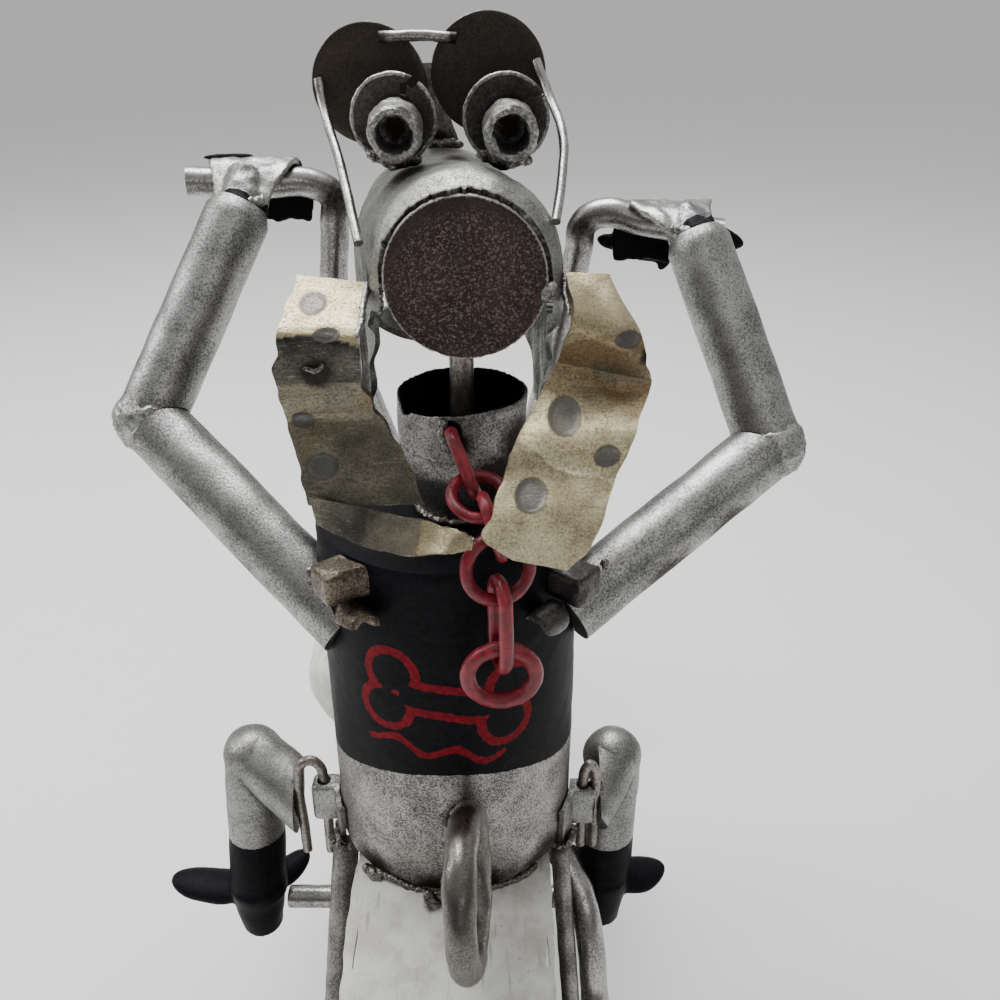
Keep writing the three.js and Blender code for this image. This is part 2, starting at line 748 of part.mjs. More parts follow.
function fender() {
  const at = (u, v) => {
    const turn = THREE.MathUtils.lerp(fenderStart, fenderEnd, v);
    const sideways = u - 0.5;
    const radius = fenderRadius - 2.2 * (2 * sideways) ** 4;
    return v3(sideways * fenderWidth, rearAxleY - radius * Math.sin(turn), axleHeight + radius * Math.cos(turn));
  };
  return sheet(at, plateThickness, 4, 11);
}

place('rear_fender', fender(), 'whitePaint');

// Wheels: rim, web and axle turned in one, with a small flat underneath
function wheel(radius, width, y, axleLeft, axleRight) {
  const half = width / 2;
  const axle = axleDiameter / 2;
  const profile = [
    [0, axleLeft],
    [axle, axleLeft],
    [axle, -half * 0.25],
    [radius * 0.66, -half * 0.25],
    [radius * 0.7, -half],
    [radius - 6, -half],
    [radius, -half * 0.5],
    [radius, half * 0.5],
    [radius - 6, half],
    [radius * 0.7, half],
    [radius * 0.66, half * 0.25],
    [axle, half * 0.25],
    [axle, axleRight],
    [0, axleRight],
  ];
  const round = new THREE.LatheGeometry(profile.map(([r, x]) => new THREE.Vector2(r, x)), 20);
  round.rotateZ(-Math.PI / 2);
  round.translate(0, y, radius - tyreFlat);
  return trimmed(round, v3(0, 0, 0), v3(0, 0, -1));
}

const rearHub = v3(0, rearAxleY, rearWheelRadius - tyreFlat);
const frontHub = v3(0, frontAxleY, frontWheelRadius - tyreFlat);
const stayLow = { left: -41, right: 40 };
const stayDiameter = { left: 8.6, right: 6 };
const rearAxleEnds = [
  stayLow.left + stayDiameter.left / 2 + 4 * gap,
  stayLow.right - stayDiameter.right / 2 - 4 * gap,
];
const frontAxleEnd = forkSpread / 2 - forkDiameter / 2 - gap;
place('rear_wheel', wheel(rearWheelRadius, tyreWidth, rearAxleY, ...rearAxleEnds), 'darkSteel');
place('front_wheel', wheel(frontWheelRadius, tyreWidth * 0.8, frontAxleY, -frontAxleEnd, frontAxleEnd), 'darkSteel');

// Stays from the pipe body's foot down to the axle, and the exhaust beside the right one
function stay(topX, side) {
  const low = v3(stayLow[side], rearHub.y - 1, rearHub.z - 6);
  return bar(v3(topX, -13, bodyBottom - 5), low, stayDiameter[side], 12);
}

place('stay_left', stay(-36, 'left'), 'silver');
place('stay_right', stay(34.6, 'right'), 'silver');
place('exhaust_pipe', bentRod([
  v3(30, 1, bodyBottom - 3.8),
  v3(33, -4, 108),
  v3(38, -9, 99),
  v3(42.4, -15, 92),
  v3(45.4, -23, 80),
  v3(47.4, -29, 60),
  v3(48, -44, 46),
  v3(48, -74, 42),
], exhaustDiameter, 8, 12), 'silver');

// Backbone under the pipe body, and the tube that the front fork and the handlebars are welded to
const backboneZ = bodyBottom - gap - backboneDiameter / 2;
const fenderFront = rearAxleY + fenderRadius * Math.sin(-fenderStart) + plateThickness;

function backbone(diameter) {
  return bentRod([
    v3(0, fenderFront, backboneZ),
    v3(0, fenderFront + 26, backboneZ),
    v3(0, 62, backboneZ + 1),
    v3(0, steeringCentre.y - 24, steeringCentre.z - 6),
    v3(0, steeringCentre.y - 4, steeringCentre.z),
  ], diameter, 8, 9);
}

function steeringTube() {
  const half = steerAxis.clone().multiplyScalar(headTubeLength / 2);
  return bar(steeringCentre.clone().sub(half), steeringCentre.clone().add(half), headTubeDiameter, 20);
}

place('backbone', cut(backbone(backboneDiameter), steeringRoom(2 * gap)), 'darkSteel');
place('steering_tube', steeringTube(), 'darkSteel');

// Tank: a beaten shell over the backbone, just ahead of the pipe body
function tank() {
  const shell = new THREE.SphereGeometry(0.5, 14, 8);
  shell.scale(tankWidth, tankLength, tankHeight);
  shell.translate(tankX, bodyRadius + gap + tankLength / 2 - 6, tankZ);
  const slot = new THREE.BoxGeometry(backboneDiameter + 4, tankLength * 2, tankHeight);
  slot.translate(0, tankLength, backboneZ - tankHeight / 2);
  const barRooms = Object.values(barRoutes).map((route) => bentRod(route, rodDiameter + 3 * gap, 8, 16));
  return cut(shell, bodyRoom(), backbone(backboneDiameter + 4), slot, steeringRoom(4), ...barRooms);
}

place('tank', tank(), 'whitePaint');

// Fork: one rod bent over the front wheel, welded under the steering tube
function frontFork() {
  const half = forkSpread / 2;
  const crown = steeringCentre.clone().addScaledVector(steerAxis, -headTubeLength / 2 - gap - forkDiameter / 2);
  const leg = (sign, share) => {
    const low = frontHub.clone().addScaledVector(steerAxis, -9);
    return low.lerp(crown, share).add(v3(sign * half, 0, 0));
  };
  return bentRod([
    leg(-1, 0),
    leg(-1, 0.3),
    leg(-1, 0.84),
    leg(-1, 0.95).add(v3(2.5, 0, 0)),
    crown.clone().add(v3(-half * 0.6, 0, 0)),
    crown.clone().add(v3(half * 0.6, 0, 0)),
    leg(1, 0.95).add(v3(-2.5, 0, 0)),
    leg(1, 0.84),
    leg(1, 0.3),
    leg(1, 0),
  ], forkDiameter, 8, 16);
}

place('front_fork', cut(frontFork(), steeringRoom(2 * gap, headTubeLength / 2 + gap)), 'silver');

// Engine: a pipe offcut across the frame, two short finned cylinders, and a hanger to the backbone
function engine() {
  const half = engineWidth / 2;
  const centre = v3(0, engineY, engineZ);
  const block = bar(v3(-half, engineY, engineZ), v3(half, engineY, engineZ), engineDiameter, 16);
  const lengths = [-engineLean, engineLean].flatMap((lean) => {
    const out = v3(0, Math.sin(lean), Math.cos(lean));
    const start = centre.clone().addScaledVector(out, engineDiameter / 2 - 4);
    const end = centre.clone().addScaledVector(out, engineDiameter / 2 + cylinderLength);
    const fins = [0.95].map((share) => {
      const at = start.clone().lerp(end, share);
      return bar(at, at.clone().addScaledVector(out, -2.4), cylinderDiameter + 5, 10);
    });
    return [bar(start, end, cylinderDiameter, 10), ...fins];
  });
  const hangerTop = backboneZ - backboneDiameter / 2 - 3 * gap;
  const hanger = new THREE.BoxGeometry(6, 12, hangerTop - engineZ);
  hanger.translate(0, engineY, (hangerTop + engineZ) / 2);
  return joined(block, hanger, ...lengths);
}

place('engine', engine(), 'darkSteel');

// Rails from the rear axle to the engine's ends, with a foot peg welded to the side of each
const railDiameter = 9;
const railX = engineWidth / 2 + gap + railDiameter / 2;
const pegZ = 73;

function frameRail(sign) {
  const rail = bentRod([
    v3(sign * railX, rearHub.y + 2, rearHub.z),
    v3(sign * railX, rearHub.y + 18, rearHub.z + 10),
    v3(sign * railX, 0, pegZ),
    v3(sign * railX, 24, pegZ - 2),
    v3(sign * railX, engineY + 8, engineZ + 4),
  ], railDiameter, 6, 10);
  const axleRoom = bar(v3(-60, rearHub.y, rearHub.z), v3(60, rearHub.y, rearHub.z), axleDiameter + 2 * gap);
  const behind = rearHub.clone().add(v3(0, 0.5, 0));
  return trimmed(cut(rail, axleRoom), behind, v3(0, -1, 0));
}

// A peg ends beside the foot that rests on it
function footPeg({ sign, ankle }) {
  const start = sign * (railX + railDiameter / 2 + gap);
  const end = ankle.x - sign * (limbRadius + 2 * gap);
  return bar(v3(start, 0, pegZ), v3(end, 0, pegZ), pegDiameter, 12);
}

for (const [side, hip] of Object.entries(hips)) {
  place(`frame_rail_${side}`, frameRail(hip.sign), 'darkSteel');
  place(`foot_peg_${side}`, footPeg(hip), 'darkSteel');
}

// Stand: a flat foot bar on the ground, with one leg up to the engine's underside
function propStand() {
  const footBar = new THREE.BoxGeometry(standWidth, standDepth, standThickness);
  footBar.translate(0, 0, standThickness / 2);
  const footMiddle = v3(0, 0, standThickness / 2);
  const leg = bar(footMiddle, v3(0, engineY, engineZ), standLeg, 12);
  const engineRoom = bar(v3(-60, engineY, engineZ), v3(60, engineY, engineZ), engineDiameter + 4 * gap, 20);
  const whole = trimmed(cut(joined(footBar, leg), engineRoom), v3(0, engineY, 0), v3(0, 1, 0));
  return trimmed(whole, v3(0, 0, 0), v3(0, 0, -1));
}

place('prop_stand', propStand(), 'darkSteel');

export default model;
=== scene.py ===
import math
import random

import bmesh
import bpy
from mathutils import Matrix, Vector, noise


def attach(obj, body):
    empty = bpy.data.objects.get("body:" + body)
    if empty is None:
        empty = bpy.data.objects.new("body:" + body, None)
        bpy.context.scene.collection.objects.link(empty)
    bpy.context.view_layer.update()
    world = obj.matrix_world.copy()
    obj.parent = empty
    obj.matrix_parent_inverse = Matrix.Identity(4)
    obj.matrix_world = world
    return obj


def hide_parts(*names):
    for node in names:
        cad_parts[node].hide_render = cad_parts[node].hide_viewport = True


# A dog riding a motorcycle, welded from scrap pipe, sheet, rod and washers.
# Sizes are in millimetres, +Z up; each piece is brought to metres when it is fitted.
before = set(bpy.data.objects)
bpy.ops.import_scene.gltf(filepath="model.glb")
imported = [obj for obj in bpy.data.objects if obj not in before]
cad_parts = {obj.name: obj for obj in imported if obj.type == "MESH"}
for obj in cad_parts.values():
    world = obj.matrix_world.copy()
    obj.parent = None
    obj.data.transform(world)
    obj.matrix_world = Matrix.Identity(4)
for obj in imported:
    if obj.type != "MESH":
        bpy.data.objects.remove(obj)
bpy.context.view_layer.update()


# Body pipe: a closed length of wide steel pipe. The lower band is bare speckled metal, and the rest is
# brushed black like a vest, with a bone and a wavy line painted on its back in red.
BODY_RADIUS = 38.0
BODY_BOTTOM = 120.0
BODY_TOP = 235.0
FULL_TURN = 2 * math.pi


def turned(profile, steps=64):
    bm = bmesh.new()
    line = [bm.verts.new((radius, 0, height)) for radius, height in profile]
    edges = [bm.edges.new(pair) for pair in zip(line, line[1:])]
    bmesh.ops.spin(
        bm, geom=line + edges, cent=(0, 0, 0), axis=(0, 0, 1), angle=FULL_TURN, steps=steps, use_merge=True
    )
    bmesh.ops.remove_doubles(bm, verts=bm.verts, dist=1e-4)
    bmesh.ops.recalc_face_normals(bm, faces=bm.faces)
    return bm


def spread(low, high, count):
    return [low + (high - low) * i / (count - 1) for i in range(count)]


def moved(bm, matrix):
    bmesh.ops.transform(bm, matrix=matrix, verts=bm.verts)
    return bm


def roughened(bm, depth, grain, seed=0.0):
    """Lifts and sinks the surface by up to depth, in lumps of about the size of grain."""
    bm.normal_update()
    lift = [depth * noise.noise(vert.co / grain + Vector((seed, seed, 7.3))) for vert in bm.verts]
    for vert, height in zip(bm.verts, lift):
        vert.co += vert.normal * height
    return bm


def fitted(name, bm, finish, slot, *nodes, sharp=38, scorch_and_shade_spots=(), **painted):
    """Puts a finished piece in place, darkened round the listed (place, reach) spots: weld soot and painted shade."""
    mesh = bpy.data.meshes.new(name)
    for face in bm.faces:
        face.smooth = True
    bm.to_mesh(mesh)
    bm.free()
    mesh.set_sharp_from_angle(angle=math.radians(sharp))
    places = [vert.co.copy() for vert in mesh.vertices]
    spots = [(Vector(place), reach) for place, reach in scorch_and_shade_spots]

    def soot_and_shade_at(place):
        return max([math.exp(-(((place - spot).length / reach) ** 2)) for spot, reach in spots] + [0])

    painted["soot_and_shade"] = soot_and_shade_at
    for mark, value_at in painted.items():
        layer = mesh.attributes.new(mark, "FLOAT", "POINT")
        layer.data.foreach_set("value", [value_at(place) for place in places])
    mesh.transform(Matrix.Scale(0.001, 4))
    mesh.materials.append(finish)
    piece = bpy.data.objects.new(name, mesh)
    bpy.context.scene.collection.objects.link(piece)
    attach(piece, "root")
    if nodes:
        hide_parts(*nodes)
    return piece


def add(tree, kind, inputs=None, **settings):
    """Adds a node. A value in inputs is a number or colour to set, or a socket to link from."""
    node = tree.nodes.new(kind)
    for key, value in settings.items():
        setattr(node, key, value)
    for key, value in (inputs or {}).items():
        if isinstance(value, bpy.types.NodeSocket):
            tree.links.new(value, node.inputs[key])
        else:
            node.inputs[key].default_value = value
    return node


def mixed(tree, share, first, second, blend="MIX"):
    inputs = {0: share, 6: first, 7: second}
    return add(tree, "ShaderNodeMix", inputs, data_type="RGBA", blend_type=blend).outputs[2]


def between(tree, value, low, high, to_low=0.0, to_high=1.0):
    inputs = {"Value": value, "From Min": low, "From Max": high, "To Min": to_low, "To Max": to_high}
    return add(tree, "ShaderNodeMapRange", inputs, interpolation_type="SMOOTHSTEP").outputs["Result"]


def sums(tree, operation, first, second):
    return add(tree, "ShaderNodeMath", {0: first, 1: second}, operation=operation).outputs[0]


def plus(tree, first, second, share):
    """The first value with a share of the second on top."""
    return sums(tree, "ADD", first, sums(tree, "MULTIPLY", second, share))


def grey(tree, tone):
    return add(tree, "ShaderNodeCombineColor", {0: tone, 1: tone, 2: tone}).outputs[0]


def mottled(tree, place, scale, detail, rough=0.5):
    """Noise from 0 to 1, with scale lumps to each unit of place."""
    inputs = {"Vector": place, "Scale": scale, "Detail": detail, "Roughness": rough}
    return add(tree, "ShaderNodeTexNoise", inputs).outputs[0]


def painted_mark(tree, name):
    return add(tree, "ShaderNodeAttribute", attribute_name=name).outputs["Fac"]


def effect(name, inputs, outputs):
    """A node group with named inputs (name, kind, value) and outputs (name, kind)."""
    group = bpy.data.node_groups.new(name, "ShaderNodeTree")
    for label, kind, value in inputs:
        group.interface.new_socket(label, in_out="INPUT", socket_type=kind).default_value = value
    for label, kind in outputs:
        group.interface.new_socket(label, in_out="OUTPUT", socket_type=kind)
    return group, group.nodes.new("NodeGroupInput").outputs, group.nodes.new("NodeGroupOutput")


def in_millimetres(tree, stretch=(1000, 1000, 1000)):
    place = tree.nodes.new("ShaderNodeTexCoord").outputs["Object"]
    return add(tree, "ShaderNodeMapping", {"Vector": place, "Scale": stretch}).outputs["Vector"]


def new_material(name):
    material = bpy.data.materials.new(name)
    material.use_nodes = True
    return material, material.node_tree, material.node_tree.nodes["Principled BSDF"]


def surfaced(tree, shader, color, rough, height, strength, depth):
    """Gives the shader a colour, a roughness and a relief of the given depth in millimetres."""
    tree.links.new(color, shader.inputs["Base Color"])
    tree.links.new(rough, shader.inputs["Roughness"])
    relief = add(tree, "ShaderNodeBump", {"Height": height, "Strength": strength, "Distance": depth / 1000})
    tree.links.new(relief.outputs["Normal"], shader.inputs["Normal"])


# Metal skin: fine bright and dark specks, broad clouds, and short scratches
metal_skin, given, out = effect(
    "metal skin",
    [
        ("Light", "NodeSocketColor", (0.7, 0.7, 0.68, 1)),
        ("Dark", "NodeSocketColor", (0.2, 0.2, 0.2, 1)),
        ("Grain", "NodeSocketFloat", 1.2),
        ("Cover", "NodeSocketFloat", 0.5),
        ("Cloud", "NodeSocketFloat", 0.5),
    ],
    [("Color", "NodeSocketColor"), ("Roughness", "NodeSocketFloat"), ("Height", "NodeSocketFloat")],
)
spot = in_millimetres(metal_skin)
fine = mottled(metal_skin, spot, given["Grain"], 4.0, 0.75)
cloud = mottled(metal_skin, spot, 0.085, 5.0, 0.6)
streak = mottled(metal_skin, in_millimetres(metal_skin, (1900, 1900, 110)), 1.0, 2.0)
clouded = between(metal_skin, cloud, 0.32, 0.68)
level = plus(metal_skin, fine, sums(metal_skin, "SUBTRACT", clouded, 0.5), 0.07)
low_edge = sums(metal_skin, "SUBTRACT", given["Cover"], 0.11)
high_edge = sums(metal_skin, "ADD", given["Cover"], 0.11)
specks = between(metal_skin, level, low_edge, high_edge)
toned = mixed(metal_skin, specks, given["Dark"], given["Light"])
shade = grey(metal_skin, between(metal_skin, clouded, 0.0, 1.0, 0.78, 1.1))
shaded = mixed(metal_skin, given["Cloud"], toned, mixed(metal_skin, 1.0, toned, shade, "MULTIPLY"))
satin = plus(metal_skin, between(metal_skin, specks, 0.0, 1.0, 0.50, 0.33), streak, 0.1)
metal_skin.links.new(shaded, out.inputs["Color"])
metal_skin.links.new(satin, out.inputs["Roughness"])
metal_skin.links.new(plus(metal_skin, fine, streak, 0.35), out.inputs["Height"])

# Soot and shade: weld soot, and painted shade in hollows and under parts, broken up at its edge
soot_and_shade_group, given, out = effect(
    "soot_and_shade",
    [
        ("Color", "NodeSocketColor", (1, 1, 1, 1)),
        ("Roughness", "NodeSocketFloat", 0.5),
        ("Tint", "NodeSocketColor", (0.03, 0.024, 0.02, 1)),
    ],
    [("Color", "NodeSocketColor"), ("Roughness", "NodeSocketFloat"), ("Mask", "NodeSocketFloat")],
)
ragged = mottled(soot_and_shade_group, in_millimetres(soot_and_shade_group), 0.55, 5.0, 0.7)
soot_and_shade_mask = between(soot_and_shade_group, plus(soot_and_shade_group, painted_mark(soot_and_shade_group, "soot_and_shade"), ragged, 0.55), 0.55, 1.05)
soot_and_shade_group.links.new(mixed(soot_and_shade_group, soot_and_shade_mask, given["Color"], given["Tint"]), out.inputs["Color"])
soot_and_shade_group.links.new(plus(soot_and_shade_group, given["Roughness"], soot_and_shade_mask, 0.2), out.inputs["Roughness"])
soot_and_shade_group.links.new(soot_and_shade_mask, out.inputs["Mask"])


def skinned(tree, light, dark, grain, cover, cloud):
    inputs = {"Light": (*light, 1), "Dark": (*dark, 1), "Grain": grain, "Cover": cover, "Cloud": cloud}
    return add(tree, "ShaderNodeGroup", inputs, node_tree=metal_skin).outputs


def with_soot_and_shade(tree, color, rough):
    return add(tree, "ShaderNodeGroup", {"Color": color, "Roughness": rough}, node_tree=soot_and_shade_group).outputs


def metal(name, light, dark, grain, cover, bump=0.05, cloud=0.6, shine=0.0, coats=()):
    """Bare or plated metal. coats lists (attribute, colour, roughness) laid where the attribute is above 0."""
    material, tree, shader = new_material(name)
    skin = skinned(tree, light, dark, grain, cover, cloud)
    soot_and_shade = with_soot_and_shade(tree, skin["Color"], sums(tree, "SUBTRACT", skin["Roughness"], shine))
    color, rough, bare = soot_and_shade["Color"], soot_and_shade["Roughness"], 1.0
    if coats:
        place = in_millimetres(tree)
        bristle = mottled(tree, place, 0.7, 4.0)
        wear = mottled(tree, place, 1.6, 3.0)
        for mark, paint, gloss in coats:
            ragged_at = plus(tree, painted_mark(tree, mark), sums(tree, "SUBTRACT", bristle, 0.5), 0.9)
            mask = between(tree, ragged_at, -0.12, 0.12)
            mask = sums(tree, "MULTIPLY", mask, between(tree, wear, 0.17, 0.22))
            tone = grey(tree, between(tree, bristle, 0.3, 0.7, 0.75, 1.3))
            color = mixed(tree, mask, color, mixed(tree, 1.0, (*paint, 1), tone, "MULTIPLY"))
            left = sums(tree, "SUBTRACT", 1.0, mask)
            rough = plus(tree, sums(tree, "MULTIPLY", rough, left), mask, gloss)
            bare = left if bare == 1.0 else sums(tree, "MULTIPLY", bare, left)
        shader.inputs["Specular IOR Level"].default_value = 0.05
        tree.links.new(bare, shader.inputs["Metallic"])
    else:
        shader.inputs["Metallic"].default_value = 1.0
    surfaced(tree, shader, color, rough, skin["Height"], 0.7, bump)
    return material


BLACK = (0.007, 0.007, 0.009)
RED = (0.17, 0.008, 0.014)
vest_metal = metal(
    "vest over bare pipe", (0.40, 0.385, 0.37), (0.095, 0.09, 0.087), 1.7, 0.5, bump=0.11,
    coats=(("black", BLACK, 0.5), ("red", RED, 0.5)),
)
VEST_EDGE = 167
VEST_DIP = 11


def vest(place):
    return place.z - VEST_EDGE + VEST_DIP * (place.x / BODY_RADIUS) ** 2


# The bone is drawn as an outline: two round knuckles at each end of a shaft
BONE_MIDDLE = (1.0, 192.6)
BONE_HALF = 15.5
BONE_TILT = math.radians(-9)
SHAFT_HALF = 4.6
KNUCKLE_RADIUS = 7.2
UNPAINTED = -5.0


def painted_line(place):
    if place.y > -5 or not 150 < place.z < 215:
        return UNPAINTED
    across = BODY_RADIUS * math.atan2(place.x, -place.y) - BONE_MIDDLE[0]
    rise = place.z - BONE_MIDDLE[1]
    x = across * math.cos(BONE_TILT) + rise * math.sin(BONE_TILT)
    y = rise * math.cos(BONE_TILT) - across * math.sin(BONE_TILT)
    wobble = 0.45 * noise.noise(Vector((x * 0.1, y * 0.1, 2.0)))
    shaft = max(abs(x) - BONE_HALF, abs(y) - SHAFT_HALF)
    knuckles = min(math.hypot(abs(x) - BONE_HALF - 2.0, y - side * 6.0) for side in (-1, 1)) - KNUCKLE_RADIUS
    outline = 1.35 - abs(min(shaft, knuckles) + wobble)
    wave = y + 17.6 - 2.0 * math.sin(x * 0.36) + wobble
    below = 1.25 - math.hypot(wave, max(abs(x + 1.5) - 19.5, 0))
    return max(outline, below)


rows = [(0.0, BODY_BOTTOM), (20, BODY_BOTTOM), (37.2, BODY_BOTTOM)]
rows += [(BODY_RADIUS, z) for z in spread(BODY_BOTTOM + 0.8, 232, 118)]
rows += [(37.4, 234.2), (35.4, BODY_TOP), (24, BODY_TOP), (0, BODY_TOP)]
body = turned(rows, 232)
roughened(body, 0.35, 17, 4.0)
roughened(body, 0.12, 4, 1.0)
body_heat = [
    ((-5, -38, 119), 9), ((-25, -30, 119), 10), ((10, -38, 121), 9), ((30, -24, 119), 11),
    ((37, -8, 126), 9), ((-38, -6, 124), 8), ((3, -39, 150), 6),
]
fitted("body_pipe_painted", body, vest_metal, "vest_paint", "body_pipe",
       black=vest, red=painted_line, scorch_and_shade_spots=body_heat)


# Neck cup: a short open pipe, dressed in to a smaller foot, painted black inside as shade, with a torn notch in its
# rim.
# The first link of the chain goes in at a welded spot, and the rod that holds the head stands in it.
CUP_X = 4.7
CUP_BOTTOM = 235.3
CUP_TOP = 270.0
zinc_pipe = metal("zinc pipe", (0.36, 0.355, 0.345), (0.17, 0.167, 0.162), 1.5, 0.5, bump=0.13)
cup_metal_shaded_inside = metal(
    "cup shaded black inside", (0.31, 0.30, 0.29), (0.10, 0.097, 0.094), 1.5, 0.5, bump=0.15,
    coats=(("black", (0.006, 0.006, 0.006), 0.6),),
)


def held(bm):
    """A scene object that holds the mesh while it is worked on."""
    holder = bpy.data.objects.new("held", bpy.data.meshes.new("held"))
    bm.to_mesh(holder.data)
    bm.free()
    bpy.context.scene.collection.objects.link(holder)
    return holder


def let_go(holder):
    mesh = holder.data
    bpy.data.objects.remove(holder)
    bpy.data.meshes.remove(mesh)


def solid_as(bm, kind, **settings):
    """The mesh after one modifier."""
    blank = held(bm)
    modifier = blank.modifiers.new("work", kind)
    for key, value in settings.items():
        setattr(modifier, key, value)
    worked = bpy.data.meshes.new_from_object(blank.evaluated_get(bpy.context.evaluated_depsgraph_get()))
    done = bmesh.new()
    done.from_mesh(worked)
    let_go(blank)
    bpy.data.meshes.remove(worked)
    return done


def carved(bm, tool):
    cutter = held(tool)
    done = solid_as(bm, "BOOLEAN", operation="DIFFERENCE", solver="EXACT", object=cutter)
    let_go(cutter)
    return done


def melted(bm, grain, passes=1):
    """Overlapping lumps run together into one skin."""
    bm = solid_as(bm, "REMESH", mode="VOXEL", voxel_size=grain)
    for _ in range(passes):
        bmesh.ops.smooth_vert(
            bm, verts=bm.verts, factor=0.5, use_axis_x=True, use_axis_y=True, use_axis_z=True
        )
    return bm


def facing(direction):
    """The turn that brings +Z to the direction."""
    return direction.to_track_quat("Z", "Y").to_matrix().to_4x4()


def limb(start, end, radius, end_radius=None, sides=44, rings=30):
    """A round bar from start to end, with rings along it so that it can be dented."""
    start, end = Vector(start), Vector(end)
    along = end - start
    bm = bmesh.new()
    bmesh.ops.create_cone(
        bm, cap_ends=True, segments=sides, radius1=radius, radius2=end_radius or radius, depth=along.length
    )
    if rings:
        length = [e for e in bm.edges if abs(e.verts[0].co.z - e.verts[1].co.z) > 0.5 * along.length]
        bmesh.ops.subdivide_edges(bm, edges=length, cuts=rings, use_grid_fill=True)
    return moved(bm, Matrix.Translation((start + end) / 2) @ facing(along))


def drill(start, end, radius, sides):
    return limb(start, end, radius, sides=sides, rings=0)


def together(first, *others):
    for other in others:
        spare = bpy.data.meshes.new("spare")
        other.to_mesh(spare)
        other.free()
        first.from_mesh(spare)
        bpy.data.meshes.remove(spare)
    return first


def arc(middle, wide, high, start, end, count):
    """Points round an ellipse with the half axes wide and high, from angle start to angle end."""
    middle, wide, high = Vector(middle), Vector(wide), Vector(high)
    return [middle + wide * math.cos(a) + high * math.sin(a) for a in spread(start, end, count)]


def bead(path, radius, seed):
    """A run of weld metal: lumps laid over each other along the path, melted into one."""
    dice = random.Random(seed)
    path = [Vector(p) for p in path]
    lengths = [(b - a).length for a, b in zip(path, path[1:])]
    total = sum(lengths)
    count = max(int(total / (radius * 0.5)), 1)
    bm = bmesh.new()
    for i in range(count + 1):
        run, k = total * i / count, 0
        while k < len(lengths) - 1 and run > lengths[k]:
            run -= lengths[k]
            k += 1
        place = path[k].lerp(path[k + 1], min(run / lengths[k], 1))
        shift = Vector([dice.uniform(-0.22, 0.22) * radius for _ in range(3)])
        size = Matrix.Diagonal([radius * dice.uniform(0.75, 1.2) for _ in range(3)] + [1])
        lump = Matrix.Translation(place + shift) @ size
        bmesh.ops.create_icosphere(bm, subdivisions=2, radius=1, matrix=lump)
    return roughened(melted(bm, max(radius * 0.28, 0.35)), radius * 0.16, radius * 0.6, seed)


weld_metal = metal("weld metal", (0.30, 0.28, 0.26), (0.06, 0.052, 0.046), 1.6, 0.5, bump=0.16)
bright_weld = metal("bright weld metal", (0.40, 0.395, 0.385), (0.13, 0.127, 0.122), 1.2, 0.48, bump=0.12)


def welded(name, *runs, finish=None):
    """Weld runs, each a path and its half width."""
    runs = [bead(path, radius, 3 + k) for k, (path, radius) in enumerate(runs)]
    return fitted(name, together(*runs), finish or weld_metal, "dark_steel", sharp=60)


cup = turned(
    [(0, CUP_BOTTOM), (8, CUP_BOTTOM), (12.2, CUP_BOTTOM), (13, CUP_BOTTOM + 0.8), (15.2, 242.4), (17.2, 248.6)]
    + [(17.75, z) for z in spread(250.2, CUP_TOP - 0.4, 22)]
    + [(17.5, CUP_TOP), (16.8, CUP_TOP), (16.55, CUP_TOP - 0.4)]
    + [(16.55, z) for z in spread(268.5, 250.5, 12)]
    + [(15.2, 248.4), (11, CUP_BOTTOM + 4), (6, CUP_BOTTOM + 4), (0, CUP_BOTTOM + 4)],
    120,
)
for vert in cup.verts:
    angle = math.atan2(vert.co.y, vert.co.x)
    highlight_rim = max((vert.co.z - 262) / 8, 0) ** 2
    notch = math.exp(-(((angle + 2.62) / 0.2) ** 2)) * 2.8 + math.exp(-(((angle + 2.2) / 0.5) ** 2)) * 1.4
    tear = 0.5 * abs(noise.noise(Vector((angle * 11, 0, 3)))) + 0.5 * abs(noise.noise(Vector((angle * 30, 2, 3))))
    vert.co.z -= highlight_rim * (notch * (1 + 0.5 * noise.noise(Vector((angle * 25, 9, 1)))) + tear)
roughened(cup, 0.5, 9, 2.0)
moved(cup, Matrix.Translation((CUP_X, 0, 0)))
cup = carved(cup, drill((2.2, -15, 266.5), (3.6, -22, 264.4), 2.5, 20))


def shaded_inside_cup(place):
    """Above 0 inside the middle of the cup's wall, where black is painted as shade."""
    wall = min(17.15, 12.5 + 0.42 * (place.z - 239.3))
    return min(wall - math.hypot(place.x - CUP_X, place.y), place.z - CUP_BOTTOM - 3) * 2.5


fitted("neck_cup_formed", cup, cup_metal_shaded_inside, "zinc_pipe", "neck_cup", black=shaded_inside_cup,
       scorch_and_shade_spots=[((21, -9, 258), 10), ((14, -15, 250), 10), ((4, -18, 262), 4)])
welded("neck_cup_weld", ([(0.5, -17.6, 268), (0.2, -18.2, 264), (1.6, -18.8, 261)], 1.5),
       ([(-11.8, -6.4, 257), (-8, -12.4, 256.6), (-2, -16.4, 256.2), (4, -17.8, 256.4)], 0.6))
welded("neck_cup_foot_weld", (arc((CUP_X, 0, 236), (13.4, 0, 0), (0, 13.4, 0), 2.9, 6.5, 14), 1.3))


# Head: sheet bent over in one piece, with a separate ring band at the rear and long cheeks hanging below.
# It sits on the neck rod. The rear rim is torn, and the left cheek is pleated where it was folded.
HOOD_REAR = -19.0
HOOD_FRONT = 76.0
HEAD_X = 8.2
HEAD_Z = 306.0
HEAD_TURN = math.radians(11)
CHEEK_BULGE = 3.4
SHEET = 2.0


def eased(x, low, high):
    t = min(max((x - low) / (high - low), 0), 1)
    return t * t * (3 - 2 * t)


def head_middle(y):
    drop = 16 * eased(y, 30, HOOD_FRONT)
    return Vector((HEAD_X - (y - HOOD_REAR) * math.tan(HEAD_TURN), y, HEAD_Z - drop))


